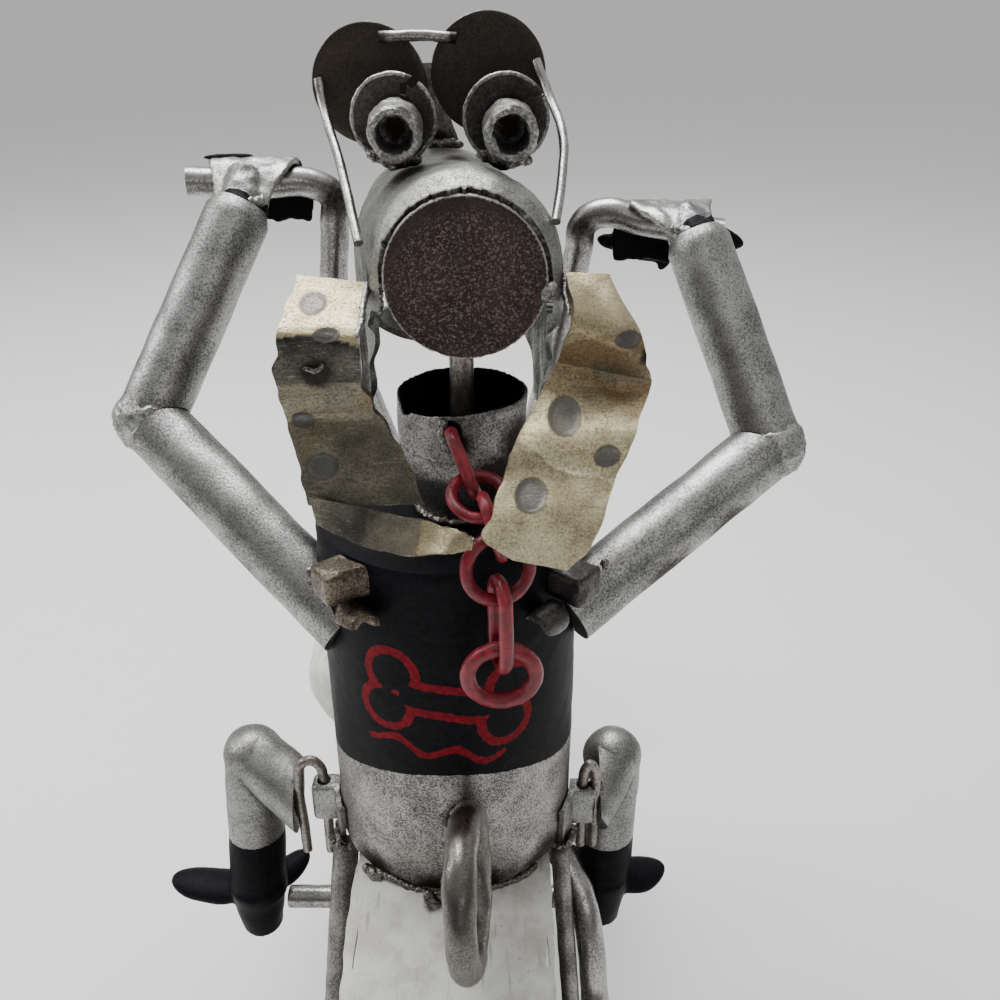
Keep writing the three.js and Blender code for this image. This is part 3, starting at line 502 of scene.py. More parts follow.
def head_half(y, seam=-6.0):
    step = 1.5 * eased(y, seam - 0.9, seam + 0.5)
    muzzle = eased(y, 28, 66)
    dressed = 2.9 * (1 - eased(y, HOOD_REAR, -11)) ** 1.5
    return (24 - step - dressed) * (1 - muzzle) + 11 * muzzle


def fullness(y):
    return math.exp(-(((y - 11) / 14) ** 2))


def seam_at(u):
    return -5.4 + 3.4 * noise.noise(Vector((u * 9, 3.1, 0))) + 1.4 * noise.noise(Vector((u * 41, 1.1, 0)))


def hood_at(u, v):
    torn = 1.9 * abs(noise.noise(Vector((u * 34, 5.0, 0)))) + 0.9 * abs(noise.noise(Vector((u * 90, 1.0, 0))))
    y = HOOD_REAR + (HOOD_FRONT - HOOD_REAR) * v + torn * max(1 - v / 0.03, 0)
    middle = head_middle(y) - Vector((1.3, 0, 0.5)) * (1 - eased(y, HOOD_REAR, -9))
    radius = head_half(y, seam_at(u)) - SHEET / 2
    bulge = CHEEK_BULGE * fullness(y)
    cheek = 0.2
    if u < cheek or u > 1 - cheek:
        hang = (cheek - min(u, 1 - u)) / cheek
        pleat = 0.55 * math.sin(y * 0.95 + hang * 2) * min(hang * 4, 1)
        away = radius + bulge + pleat * eased(y, -12, -2) * (1 - eased(y, 30, 50))
        ragged_drop = 1.5 * noise.noise(Vector((y * 0.22, u * 3, 8))) * hang
        drop = hang * (8 + 40 * fullness(y)) + ragged_drop
        return middle + Vector((-away if u < cheek else away, 0, -drop))
    turn = math.pi * (u - cheek) / (1 - 2 * cheek)
    away = radius + bulge * math.cos(turn) ** 2
    return middle + Vector((-away * math.cos(turn), 0, radius * math.sin(turn)))


def bent_sheet(at, across, along, thickness):
    """Sheet of even thickness, bent to the surface at(u, v), with u and v from 0 to 1."""
    bm = bmesh.new()
    bmesh.ops.create_grid(bm, x_segments=across, y_segments=along, size=0.5)
    for vert in bm.verts:
        vert.co = at(min(max(vert.co.x + 0.5, 0), 1), min(max(vert.co.y + 0.5, 0), 1))
    bm.normal_update()
    bmesh.ops.recalc_face_normals(bm, faces=bm.faces)
    bm.normal_update()
    half = [vert.normal * (thickness / 2) for vert in bm.verts]
    for vert, shift in zip(bm.verts, half):
        vert.co += shift
    bmesh.ops.solidify(bm, geom=bm.faces[:], thickness=thickness)
    bmesh.ops.recalc_face_normals(bm, faces=bm.faces)
    return bm


hood_metal = metal("galvanised hood", (0.32, 0.32, 0.30), (0.15, 0.15, 0.14), 2.0, 0.5, bump=0.14)
hood = bent_sheet(hood_at, 150, 150, 1.4)
roughened(hood, 0.5, 8, 3.0)
roughened(hood, 0.14, 1.7, 6.0)
hood_scorch_and_shade = [(hood_at(u, 0), 1.25) for u in spread(0.19, 0.81, 56)]
for u in spread(0.26, 0.74, 60):
    hood_scorch_and_shade.append((hood_at(u, (seam_at(u) - HOOD_REAR) / (HOOD_FRONT - HOOD_REAR)), 1.7))
# Besides soot at the ear and eye welds, these spots darken the lower left cheek and the hood under the eyes as painted
# shade.
hood_scorch_and_shade += [
    ((-21, 12, 268), 12), ((-10, 8, 328), 8), ((18, 8, 328), 8), ((-17, -10, 302), 6), ((30, -10, 303), 6),
    ((-24, 14, 280), 13), ((4, 12, 331), 6), ((-20, -17, 300), 5), ((-18, 30, 300), 12),
]
fitted("head_hood_bent", hood, hood_metal, "zinc_pipe", "head_hood", scorch_and_shade_spots=hood_scorch_and_shade)
welded("head_tack_weld", ([(27.2, -18.4, 303.6), (25.6, -19.2, 301.8)], 1.9), finish=bright_weld)


# Neck rod: plain round bar, rusty, which stands in the cup and reaches up into the hood.
# It is welded to the cup's floor, and it holds the head.
def rod(points, radius, closed=False, sides=6, steps=9):
    """Round rod bent smoothly through the points."""
    curve = bpy.data.curves.new("rod", "CURVE")
    curve.dimensions = "3D"
    curve.resolution_u = steps
    curve.bevel_depth = radius
    curve.bevel_resolution = sides
    curve.use_fill_caps = not closed
    spline = curve.splines.new("BEZIER")
    spline.bezier_points.add(len(points) - 1)
    spline.use_cyclic_u = closed
    for knot, place in zip(spline.bezier_points, points):
        knot.co = place
        knot.handle_left_type = knot.handle_right_type = "AUTO"
    holder = bpy.data.objects.new("rod", curve)
    bpy.context.scene.collection.objects.link(holder)
    mesh = bpy.data.meshes.new_from_object(holder.evaluated_get(bpy.context.evaluated_depsgraph_get()))
    bm = bmesh.new()
    bm.from_mesh(mesh)
    bpy.data.objects.remove(holder)
    bpy.data.curves.remove(curve)
    bpy.data.meshes.remove(mesh)
    bmesh.ops.remove_doubles(bm, verts=bm.verts, dist=1e-3)
    bmesh.ops.recalc_face_normals(bm, faces=bm.faces)
    return bm


rusty_rod = metal("rusty rod", (0.34, 0.315, 0.29), (0.17, 0.145, 0.125), 1.2, 0.5, cloud=0.9)
neck = roughened(limb((CUP_X, 0, 239.6), (CUP_X, 0, 325.1), 3.25, sides=28, rings=60), 0.18, 4)
fitted("neck_rod_drawn", neck, rusty_rod, "bright_rod", "neck_rod", scorch_and_shade_spots=[((CUP_X, 0, 242), 9)])


# Back disc: a flame-cut disc that closes the hood's rear end, pitted all over, with a smoother margin above.
# It is tacked to the hood's ring on the right.
DISC_MIDDLE = Vector((6.7, -18.6, 305.4))
DISC_RADIUS = 19.9
ON_EDGE = Matrix.Rotation(math.radians(90), 4, "X")
pitted, tree, shader = new_material("pitted disc")
place = in_millimetres(tree)
pits = mottled(tree, place, 1.7, 4.0, 0.7)
crust = add(tree, "ShaderNodeTexVoronoi", {"Vector": place, "Scale": 1.5, "Randomness": 1.0})
broad = mottled(tree, place, 0.09, 3.0)
open_face = between(tree, plus(tree, painted_mark(tree, "margin"), pits, 1.4), 0.5, 1.9, 1.0, 0.0)
glint = sums(tree, "MULTIPLY", between(tree, pits, 0.50, 0.66, 0.0, 0.8), open_face)
ground = mixed(tree, between(tree, broad, 0.35, 0.65), (0.022, 0.013, 0.0115, 1), (0.042, 0.025, 0.021, 1))
color = mixed(tree, glint, ground, (0.26, 0.185, 0.165, 1))
worn_edge = between(tree, plus(tree, painted_mark(tree, "edge"), pits, 1.2), 0.9, 1.3)
color = mixed(tree, worn_edge, color, (0.42, 0.39, 0.36, 1))
shader.inputs["Metallic"].default_value = 0.35
surfaced(tree, shader, color, between(tree, pits, 0.4, 0.65, 0.8, 0.45),
         plus(tree, pits, crust.outputs["Distance"], -0.4), 0.9, 0.3)
disc = turned(
    [(r, 1.0) for r in spread(0, 19.2, 42)]
    + [(19.7, 0.8), (DISC_RADIUS, 0.2), (DISC_RADIUS, -0.6), (19.5, -1.0), (9, -1.0), (0, -1.0)],
    150,
)
moved(disc, Matrix.Translation(DISC_MIDDLE) @ ON_EDGE)
roughened(disc, 0.16, 1.1, 3.0)
for vert in disc.verts:
    from_middle = vert.co - DISC_MIDDLE
    if from_middle.length > 18.8:
        angle = math.atan2(from_middle.z, from_middle.x)
        vert.co -= from_middle.normalized() * 0.55 * abs(noise.noise(Vector((angle * 19, 0, 0))))


def disc_margin(place):
    from_middle = place - DISC_MIDDLE
    upper = max(0.25, from_middle.normalized().dot(Vector((-0.35, 0, 0.9))))
    return max(from_middle.length - 14.5, 0) * 0.33 * upper


def disc_edge(place):
    return max((place - DISC_MIDDLE).length - 18.9, 0) * 0.9


fitted("head_disc_cut", disc, pitted, "pitted_disc", "head_back_disc", margin=disc_margin, edge=disc_edge)


# Nose and lower jaw: a turned slug on the muzzle's end, and a shallow bent plate under it.
# Both are hidden in the photo and kept plain.
dark_steel = metal("dark steel", (0.24, 0.225, 0.205), (0.12, 0.108, 0.098), 1.3, 0.5, cloud=0.9)
front = head_middle(HOOD_FRONT) + Vector((0, 2.3, 2))
ahead = Vector((-math.sin(HEAD_TURN), math.cos(HEAD_TURN), 0))
nose = turned([(0, 0), (7.6, 0), (8.5, 0.9), (8.2, 3), (7.2, 6), (6.1, 8.2), (4.6, 9), (1.6, 8.6), (0, 8.5)], 48)
moved(nose, Matrix.Translation(front) @ facing(ahead))
fitted("nose_turned", roughened(nose, 0.25, 3), dark_steel, "dark_steel", "nose_slug")
welded("nose_weld", (arc(front - Vector((0, 0.3, 0)), (6, 0, 0), (0, 0, 7), 0.3, 2.8, 6), 1.2))


def jaw_at(u, v):
    y = 24 + 44 * v
    half = head_half(y) + CHEEK_BULGE * fullness(y) - SHEET - 1.6 - 3 * v
    sag = 6 * v + 0.36 * half * math.sin(math.pi * u)
    return Vector((head_middle(y).x - half * math.cos(math.pi * u), y, 283 - sag))


jaw = roughened(bent_sheet(jaw_at, 40, 40, SHEET), 0.4, 7)
fitted("lower_jaw_bent", jaw, zinc_pipe, "zinc_pipe", "lower_jaw")


# Eyes: a split spring washer stands on the hood, with a short length of thick tube welded behind it.
# The tube is flame-cut, so its rear edge is lumpy, and its bore is darkened with painted shade.
washer_metal = metal("washer steel", (0.42, 0.41, 0.40), (0.16, 0.156, 0.152), 1.2, 0.5, bump=0.15, cloud=0.9)
washer_face = metal("washer face", (0.085, 0.081, 0.078), (0.045, 0.042, 0.04), 1.2, 0.5, bump=0.07, cloud=0.9)
EYES = {
    "left": {"x": -11.3, "split": math.radians(62), "open": 1.5},
    "right": {"x": 16.5, "split": math.radians(38), "open": 0.8},
}
EYE_Z = 338.0
# Each split is cut in three steps: from, to, and how far it drifts sideways
SPLIT_STEPS = ((3.6, 6.2, -0.9), (5.8, 8.6, 0.8), (8.2, 11.6, -0.6))
SPLIT_GAP = 0.16


def bored(profile, steps):
    """A turned piece with a hole through it. The profile ends where it starts."""
    bm = turned(profile, steps)
    bmesh.ops.remove_doubles(bm, verts=bm.verts, dist=1e-3)
    return bm


def box(middle, size, turn=Matrix.Identity(4)):
    bm = bmesh.new()
    bmesh.ops.create_cube(bm, size=1.0)
    return moved(bm, Matrix.Translation(middle) @ turn @ Matrix.Diagonal((*size, 1)))


for side, eye in EYES.items():
    x = eye["x"]
    middle = Vector((x, 9.1, EYE_Z))
    washer = bored([(4.4, -0.7), (5, -0.9), (9.9, -0.9), (10.6, -0.5), (10.8, 0), (10.6, 0.6), (9.8, 0.9),
                    (9, 0.72), (5, 0.6), (4.4, 0.3), (4.4, -0.7)], 96)
    moved(washer, Matrix.Translation(middle) @ ON_EDGE)
    roughened(washer, 0.22, 2.4, x)
    out_to = Vector((math.cos(eye["split"]), 0, math.sin(eye["split"])))
    along = Vector((-out_to.z, 0, out_to.x))
    for k, (start, end, drift) in enumerate(SPLIT_STEPS):
        turn = Matrix.Rotation(-eye["split"] + 0.35 * (-1) ** k, 4, "Y")
        size = (end - start, 4, eye["open"] * (0.8 + 0.3 * k))
        washer = carved(washer, box(middle + out_to * (start + end) / 2 + along * drift, size, turn))
    # A ring in the lighter metal round the washer's edge: a painted highlight where the edge catches the light.
    highlight_rim = arc(middle - Vector((0, 0.35, 0)), (10.2, 0, 0), (0, 0, 10.2),
              eye["split"] + SPLIT_GAP, eye["split"] + FULL_TURN - SPLIT_GAP, 40)
    highlight_rim = roughened(rod(highlight_rim, 0.62, sides=4, steps=3), 0.2, 1.3)
    fitted(f"eye_washer_{side}_rim", highlight_rim, washer_metal, "bright_rod")
    fitted(f"eye_washer_{side}_split", washer, washer_face, "bright_rod", f"eye_washer_{side}",
           scorch_and_shade_spots=[((x, 9, 329), 5), ((x + 1, 8, 337), 6.6)])
    near, far = Vector((x + 1.2, -3.8, 335.8)), Vector((x + 0.6, 7.2, 336.6))
    tube = bored(
        [(3.9, 2), (4.25, 10.4), (4.7, 11), (5.9, 11), (6.5, 10.4)] + [(6.5, z) for z in spread(9.4, 0.8, 12)]
        + [(6.1, 0), (0, 0), (0, 2), (3.9, 2)], 64)
    moved(tube, Matrix.Translation(far) @ facing(near - far))
    roughened(tube, 0.5, 3.1, x)
    roughened(tube, 0.24, 1.0, x)
    # Spots along the tube's axis darken its bore and its cut end, the bore as painted shade; the last spot is soot at
    # its weld.
    fitted(f"eye_tube_{side}_cut", tube, washer_metal, "bright_rod", f"eye_tube_{side}",
           scorch_and_shade_spots=[(far.lerp(near, share), 4.7) for share in (0.2, 0.45, 0.7, 0.88)] + [((x, 5, 330), 3.4)])
    welded(f"eye_weld_{side}", ([(x - 5.4, 9, 329.6), (x - 1, 8.6, 327.6), (x + 4.6, 8.8, 328.4)], 1.9),
           ([(x - 2, 3.4, 329.4), (x + 3, 4.4, 329.2)], 1.5))


# Glasses: two thin discs on a twisted sliver of plate, a bridge wire welded across behind them,
# and a wire back along each side of the head.
lens_metal = metal(
    "lens disc", (0.070, 0.058, 0.049), (0.050, 0.042, 0.036), 1.6, 0.5, bump=0.012, cloud=0.5, shine=-0.04
)
bright_rod = metal("bright rod", (0.41, 0.40, 0.39), (0.18, 0.176, 0.17), 1.4, 0.47, shine=0.12)
LENSES = {"left": Vector((-19, 27.2, 344)), "right": Vector((12, 27.2, 346.6))}
LENS_EDGE = 14.65
for side, middle in LENSES.items():
    lens = turned([(r, 0.8) for r in spread(0, 14.2, 14)]
                  + [(14.7, 0.62), (14.85, 0.1), (14.8, -0.5), (14.4, -0.8), (7, -0.8), (0, -0.8)], 96)
    moved(lens, Matrix.Translation(middle) @ ON_EDGE)
    roughened(lens, 0.12, 7, middle.x)
    fitted(f"lens_{side}_pressed", lens, lens_metal, "dark_steel", f"lens_disc_{side}")
    highlight_rim = arc(middle, (LENS_EDGE, 0, 0), (0, 0, LENS_EDGE), 0, FULL_TURN, 33)[:-1]
    highlight_rim = roughened(rod(highlight_rim, 0.24, closed=True, sides=3, steps=3), 0.08, 1.5)
    fitted(f"lens_{side}_edge", highlight_rim, washer_metal, "dark_steel")
bridge = roughened(rod([(-15.7, 24.7, 355.4), (-6, 24.7, 355.7), (4, 24.7, 355.2)], 1.4), 0.16, 2.2)
fitted("glasses_bridge_wire", bridge, bright_rod, "bright_rod", "glasses_bridge",
       scorch_and_shade_spots=[((-15.7, 25, 355), 3.4), ((4, 25, 355), 3.4)])
TEMPLES = {
    "left": [(-31.8, 24.7, 345.6), (-30.6, 22, 339.5), (-24.6, 5, 327.5), (-18.6, -15, 313)],
    "right": [(24.2, 24.7, 349.9), (27.5, 20, 342.1), (30.6, 9, 334), (30.0, -2, 325.4), (28.2, -13, 317.6)],
}
for side, route in TEMPLES.items():
    wire = roughened(rod(route, 1.2), 0.14, 2.4)
    fitted(f"temple_wire_{side}_bent", wire, bright_rod, "bright_rod", f"temple_wire_{side}")


def strip_at(stations, crease=0.02):
    """The surface of a strip through pairs of points, with each fold rounded over."""
    stations = [tuple(Vector(p) for p in pair) for pair in stations]
    last = len(stations) - 1

    def flat(u, v):
        v = min(max(v, 0), 1)
        i = min(int(v * last), last - 1)
        share = v * last - i
        first = stations[i][0].lerp(stations[i + 1][0], share)
        second = stations[i][1].lerp(stations[i + 1][1], share)
        return first.lerp(second, u)

    def rounded(u, v):
        if v < crease or v > 1 - crease:
            return flat(u, v)
        return (flat(u, v - crease) + flat(u, v) + flat(u, v + crease)) / 3

    return rounded


POST_Y = 29.1
post = [(3.8, -4.4, 330.2), (1, -5, 338), (-1.5, -5.9, 349)]
post = strip_at([((right, POST_Y, z), (left, POST_Y, z)) for right, left, z in post])
post = roughened(bent_sheet(post, 10, 30, 1.6), 0.35, 3)
fitted("glasses_post_sliver", post, bright_rod, "bright_rod", "glasses_post", scorch_and_shade_spots=[((-1, 29, 329), 5)])
welded("glasses_post_weld", ([(4, 28.6, 329), (-4, 28.6, 329)], 1.5))


# Ears: plated sheet, yellow to bronze, bent over at the top, pressed in waves and flared out over the back.
# The light and shade of each facet is painted into its plating too.
# Grey round marks show where it was spot-welded to something before. Each is welded to the hood.
# The ramp runs from painted shade at its near black end to painted highlight at its palest.
PLATING_AND_SHADE = (
    (0.0, (0.045, 0.045, 0.045)),
    (0.2, (0.20, 0.19, 0.15)),
    (0.34, (0.24, 0.17, 0.095)),
    (0.6, (0.42, 0.375, 0.25)),
    (0.8, (0.60, 0.54, 0.36)),
    (1.0, (0.86, 0.80, 0.60)),
)
ear_metal, tree, shader = new_material("yellow plating with painted light and shade")
place = in_millimetres(tree)
skin = skinned(tree, (1.0, 0.98, 0.94), (0.55, 0.52, 0.46), 1.5, 0.47, 0.5)
brush = mottled(tree, in_millimetres(tree, (260, 900, 2600)), 0.9, 4.0, 0.7)
patchy = sums(tree, "SUBTRACT", mottled(tree, place, 0.13, 4.0), 0.5)
plating_and_shade = add(tree, "ShaderNodeValToRGB", {"Fac": plus(tree, painted_mark(tree, "tint"), patchy, 0.35)})
ramp = plating_and_shade.color_ramp
ramp.elements[0].color = (*PLATING_AND_SHADE[0][1], 1)
ramp.elements[1].color = (*PLATING_AND_SHADE[-1][1], 1)
for at_share, shade_of in PLATING_AND_SHADE[1:-1]:
    ramp.elements.new(at_share).color = (*shade_of, 1)
color = mixed(tree, 1.0, skin["Color"], plating_and_shade.outputs["Color"], "MULTIPLY")
color = mixed(tree, between(tree, brush, 0.58, 0.70, 0.0, 0.3), color, (0.66, 0.62, 0.48, 1))
color = mixed(tree, between(tree, brush, 0.44, 0.34, 0.0, 0.5), color, (0.13, 0.11, 0.07, 1))
dimple = painted_mark(tree, "dimple")
color = mixed(tree, between(tree, dimple, -0.25, 0.3, 0.0, 0.88), color, (0.10, 0.10, 0.098, 1))
from_edge = add(tree, "ShaderNodeMath", {0: dimple}, operation="ABSOLUTE").outputs[0]
color = mixed(tree, between(tree, from_edge, 0.1, 0.45, 0.5, 0.0), color, (0.07, 0.06, 0.05, 1))
soot_and_shade = with_soot_and_shade(tree, color, skin["Roughness"])
shader.inputs["Metallic"].default_value = 0.85
surfaced(tree, shader, soot_and_shade["Color"], soot_and_shade["Roughness"], sums(tree, "ADD", skin["Height"], brush), 0.8, 0.09)

# Stations run from the head to the tip, each from the strip's right edge to its left. The tint pairs give the plating
# from one station to the next, with each facet's light and shade painted in: lit crests pale, facets turned away dark.
# spots gives the marks: middle, radius and how far they are foreshortened.
EARS = {
    "right_bent": {
        "stations": [
            ((42.1, -8, 303.4), (31.4, -8, 303.4)),
            ((50.4, -22, 288.9), (32.4, -26, 298.2)),
            ((52.9, -18, 278.2), (28.2, -18, 282.2)),
            ((46.8, -34, 269.6), (17.8, -38, 270.4)),
            ((44, -35, 262.8), (16.2, -40, 264)),
            ((39.5, -45, 255.8), (13.1, -49.8, 258.5)),
            ((36, -49, 247.7), (10.4, -53, 253.6)),
            ((30.7, -51.5, 244.5), (17.8, -53, 248.2)),
        ],
        "tints": [(0.60, 0.52), (0.40, 0.28), (0.34, 0.80), (0.74, 0.98), (0.60, 0.66), (0.72, 0.84), (0.90, 0.8)],
        "spots": [((46, -23, 291.5), 3.3, 1.7), ((30.7, -31, 275.1), 4.1, 1.1), ((40.8, -35, 266.9), 3.2, 1.2),
                  ((22.4, -45, 260.9), 3.9, 1.3)],
        "seed": 2.0,
        "nodes": ["ear_right"],
        "scorch_and_shade_spots": [((51.5, -21, 287), 3)],
    },
    "left_bent": {
        "stations": [
            ((-17.9, -11, 302), (-35.2, -9, 303.2)),
            ((-18.6, -28, 294), (-37.3, -28, 294.7)),
            ((-18.5, -27, 282.5), (-39.5, -27, 282.5)),
            ((-15.3, -24, 273.4), (-38.3, -22, 270.4)),
            ((-9.6, -26, 264), (-35.5, -28, 261.6)),
            ((-4, -30, 250.5), (-33, -32, 251.5)),
        ],
        "tints": [(0.56, 0.66), (0.0, 0.07), (0.20, 0.24), (0.22, 0.16), (0.15, 0.12)],
        "spots": [((-30, -17, 299.3), 3.4, 1.7), ((-26, -27, 294.4), 3.2, 2.2), ((-34.2, -24, 271.3), 2.8, 1.3),
                  ((-29.4, -29, 260.7), 3.9, 1.3)],
        "seed": 5.0,
        "nodes": ["ear_left"],
        "scorch_and_shade_spots": [((-29, -28, 285), 5)],
    },
    "left_lip": {
        "stations": [
            ((-30.9, -32.2, 246.6), (-32.4, -31.6, 254)),
            ((-19.7, -39, 243.7), (-16.4, -36.4, 252.8)),
            ((-6.4, -45, 244.4), (-1.9, -43, 252.8)),
            ((2.7, -49.6, 248.1), (6, -48.6, 253.2)),
            ((8.4, -50, 249.4), (8.9, -50, 251.9)),
        ],
        "tints": [(0.08, 0.05), (0.10, 0.22), (0.46, 0.58), (0.6, 0.6)],
        "spots": [],
        "seed": 8.0,
        "nodes": [],
        "scorch_and_shade_spots": [],
    },
}
for name, ear in EARS.items():
    at = strip_at(ear["stations"], 0.026)
    middles = [(Vector(a) + Vector(b)) / 2 for a, b in ear["stations"]]
    spans = list(zip(middles, middles[1:]))

    def waved(u, v):
        edge = 1.1 * noise.noise(Vector((v * 13, u * 2 + ear["seed"], 4))) * (abs(u - 0.5) * 2) ** 4
        return at(u, v) + Vector((edge * (0.8 if u < 0.5 else -0.8), 0, 0.5 * edge))

    def tint_at(p):
        k = min(range(len(spans)), key=lambda i: (p - spans[i][0].lerp(spans[i][1], 0.5)).length
                - 0.5 * (spans[i][1] - spans[i][0]).length)
        a, b = spans[k]
        share = min(max((p - a).dot(b - a) / (b - a).length_squared, 0), 1)
        return ear["tints"][k][0] * (1 - share) + ear["tints"][k][1] * share

    def dimple_at(p):
        marks = [UNPAINTED]
        for centre, reach, squash in ear["spots"]:
            off = p - Vector(centre)
            marks.append(reach - math.hypot(off.x, off.z * squash, off.y * 0.4))
        return max(marks)

    sheet = roughened(bent_sheet(waved, 56, 150, 1.5), 0.5, 7, ear["seed"])
    for vert in sheet.verts:
        vert.co -= vert.normal * 0.3 * eased(dimple_at(vert.co), 0, 1.2)
    fitted(f"ear_{name}", sheet, ear_metal, "zinc_yellow", *ear["nodes"],
           tint=tint_at, dimple=dimple_at, scorch_and_shade_spots=ear["scorch_and_shade_spots"])
welded("ear_welds", ([(-17.6, -11.5, 302.4), (-17.9, -17, 299.8), (-17.9, -23, 297), (-18.6, -27.4, 294.4)], 0.85),
       ([(31.2, -8, 303.6), (30.8, -13, 300.4), (31.4, -20, 297.6)], 0.8), finish=bright_weld)
welded("ear_left_scar", ([(-31.5, -28.2, 286.6), (-29, -28.3, 285.6), (-27.4, -28.1, 287)], 0.7))


# Chain: five links of round wire and a larger ring, dipped in red paint that has worn pink at the edges, where a
# pink highlight is painted too.
# Each link is threaded on the wire of the one before it.
chain_paint, tree, shader = new_material("red chain paint")
place = in_millimetres(tree)
thick = mottled(tree, place, 0.35, 4.0)
chips = mottled(tree, place, 0.8, 5.0, 0.7)
color = mixed(tree, between(tree, thick, 0.35, 0.65), (0.13, 0.005, 0.012, 1), (0.24, 0.008, 0.020, 1))
# Pink on each link's outer edges: worn paint and painted highlight.
pink_wear_and_highlight = between(tree, plus(tree, painted_mark(tree, "outer"), chips, 1.6), 1.25, 1.6)
color = mixed(tree, pink_wear_and_highlight, color, (0.42, 0.10, 0.11, 1))
color = mixed(tree, between(tree, chips, 0.36, 0.31), color, (0.035, 0.012, 0.012, 1))
surfaced(tree, shader, color, between(tree, chips, 0.3, 0.7, 0.26, 0.5), chips, 0.6, 0.15)

# Each link: its top, its bottom, the way it lies across, its width, and the radius of its wire
CHAIN_WIRE = 4.2
LINKS = {
    "chain_link_1": ((2.6, -20.3, 266), (8.8, -30.2, 253.8), (0, 0.88, -0.47), 13.6, 1.65),
    "chain_link_2": ((7.07, -27.44, 257.2), (12.4, -38.7, 251.9), (0.95, 0.25, 0), 17.9, 1.5),
    "chain_link_3": ((10.87, -36.26, 255.8), (15.63, -43.84, 243.7), (0, 0.88, -0.47), 13.6, 1.65),
    "chain_link_4": ((14.1, -41.4, 247.6), (14.9, -45, 231.9), (0.95, 0.3, 0), 20.6, 1.7),
    "chain_link_5": ((14.9, -45, 236.6), (15.3, -46.2, 212.7), (-0.3, 0.95, 0), 13.6, 1.85),
    "chain_ring": ((15.3, -46.2, 217.4), (15.5, -44.8, 199.8), (1, 0.05, 0), 21.8, 2.1),
}
for number, (name, (top, bottom, across, width, wire)) in enumerate(LINKS.items()):
    top, bottom, across = Vector(top), Vector(bottom), Vector(across)
    down = (bottom - top).normalized()
    side = (across - down * across.dot(down)).normalized()
    radius = (width - CHAIN_WIRE) / 2
    stretch = max((bottom - top).length / 2 - radius, 0)
    middle = (top + bottom) / 2
    route = []
    for a in spread(0, FULL_TURN, 17)[:-1]:
        straight = math.copysign(stretch, math.sin(a) + 1e-9)
        route.append(middle + side * radius * math.cos(a) + down * (radius * math.sin(a) + straight))
        if abs(math.sin(a)) < 1e-6 and stretch > 1:
            route.append(middle + side * radius * math.cos(a) - down * straight)
            if math.cos(a) > 0:
                route = [route[1], route[0]]
    link = roughened(rod(route, wire, closed=True, sides=7, steps=5), 0.16, 3.0, number)
    reach = radius + CHAIN_WIRE / 2 + stretch
    fitted(f"{name}_wire", link, chain_paint, "red_paint", name,
           outer=lambda p: 0.55 * ((p - middle).length / reach) ** 4 - 0.1)


# Arms: two lengths of water pipe, mitred and welded at the elbow. The forearm's end is slit, hammered flat
# and curled over the handlebar, and its fingers are painted black.
arm_metal = metal(
    "arm pipe", (0.41, 0.405, 0.395), (0.135, 0.132, 0.128), 1.6, 0.49, bump=0.16, shine=0.08,
    coats=(("black", BLACK, 0.4),),
)
LIMB = 10.0


def trimmed(bm, point, normal):
    """Cuts off all beyond the plane and closes the cut."""
    cut = bmesh.ops.bisect_plane(
        bm, geom=bm.verts[:] + bm.edges[:] + bm.faces[:], dist=1e-4, plane_co=point, plane_no=normal, clear_outer=True
    )
    highlight_rim = [e for e in cut["geom_cut"] if isinstance(e, bmesh.types.BMEdge)]
    bmesh.ops.holes_fill(bm, edges=highlight_rim, sides=0)
    return bm


def mitred(start, corner, end):
    """Two lengths of pipe that meet at the corner, and the path of the seam between them."""
    start, corner, end = Vector(start), Vector(corner), Vector(end)
    inward, onward = (corner - start).normalized(), (end - corner).normalized()
    square = (inward + onward).normalized()
    outward = (inward - onward).normalized()
    first = limb(start, corner + inward * 2 * LIMB, LIMB, rings=44)
    second = limb(corner - onward * 2 * LIMB, end, LIMB, rings=44)
    trimmed(first, corner - square * 0.15, square)
    trimmed(second, corner + square * 0.15, -square)
    for length, heading in ((first, inward), (second, -onward)):
        for vert in length.verts:
            off = vert.co - corner
            if off.dot(heading) > 0:
                vert.co = corner + off.normalized() * LIMB
    aside = square.cross(outward)
    return first, second, arc(corner, outward * (LIMB - 0.5), aside * (LIMB - 0.7), 0, FULL_TURN, 33)


def body_room():
    return drill((0, 0, BODY_BOTTOM - 5), (0, 0, BODY_TOP + 0.3), BODY_RADIUS + 0.35, 96)


def ball(radius=1.0, detail=4):
    bm = bmesh.new()
    bmesh.ops.create_icosphere(bm, subdivisions=detail, radius=radius)
    return bm


def unpainted(place):
    return UNPAINTED


# The two widths after the grip give the two dark patches painted under the upper arm as shade.
# Each finger is a lobe: its two ends, its width and how thick it is.
ARMS = {
    "left": {
        "sign": -1, "shoulder": (-28, -16, 203.4), "elbow": (-91, 26, 250), "wrist": (-64.6, 62, 306),
        "grip": (-63, 75.6, 310.2), "underside_shade": (9, 9),
        "fingers": [((-64, 84, 316.4), (-82, 86, 316.2), 3.4, 2.4), ((-66, 84, 304), (-46.5, 84, 300.4), 6.4, 3.0),
                    ((-60, 82, 314), (-44, 83, 309), 4.4, 2.2)],
    },
    "right": {
        "sign": 1, "shoulder": (34, -12, 205.8), "elbow": (98, 26, 241), "wrist": (75.6, 61, 297.6),
        "grip": (69, 74.9, 297.2), "underside_shade": (13, 12),
        "fingers": [((80, 83, 293), (97, 84, 288.6), 9.5, 2.6), ((75, 84, 286), (47.5, 84, 290.5), 10.5, 3.0),
                    ((71, 84, 286), (69, 84, 279.5), 6.0, 2.6)],
    },
}


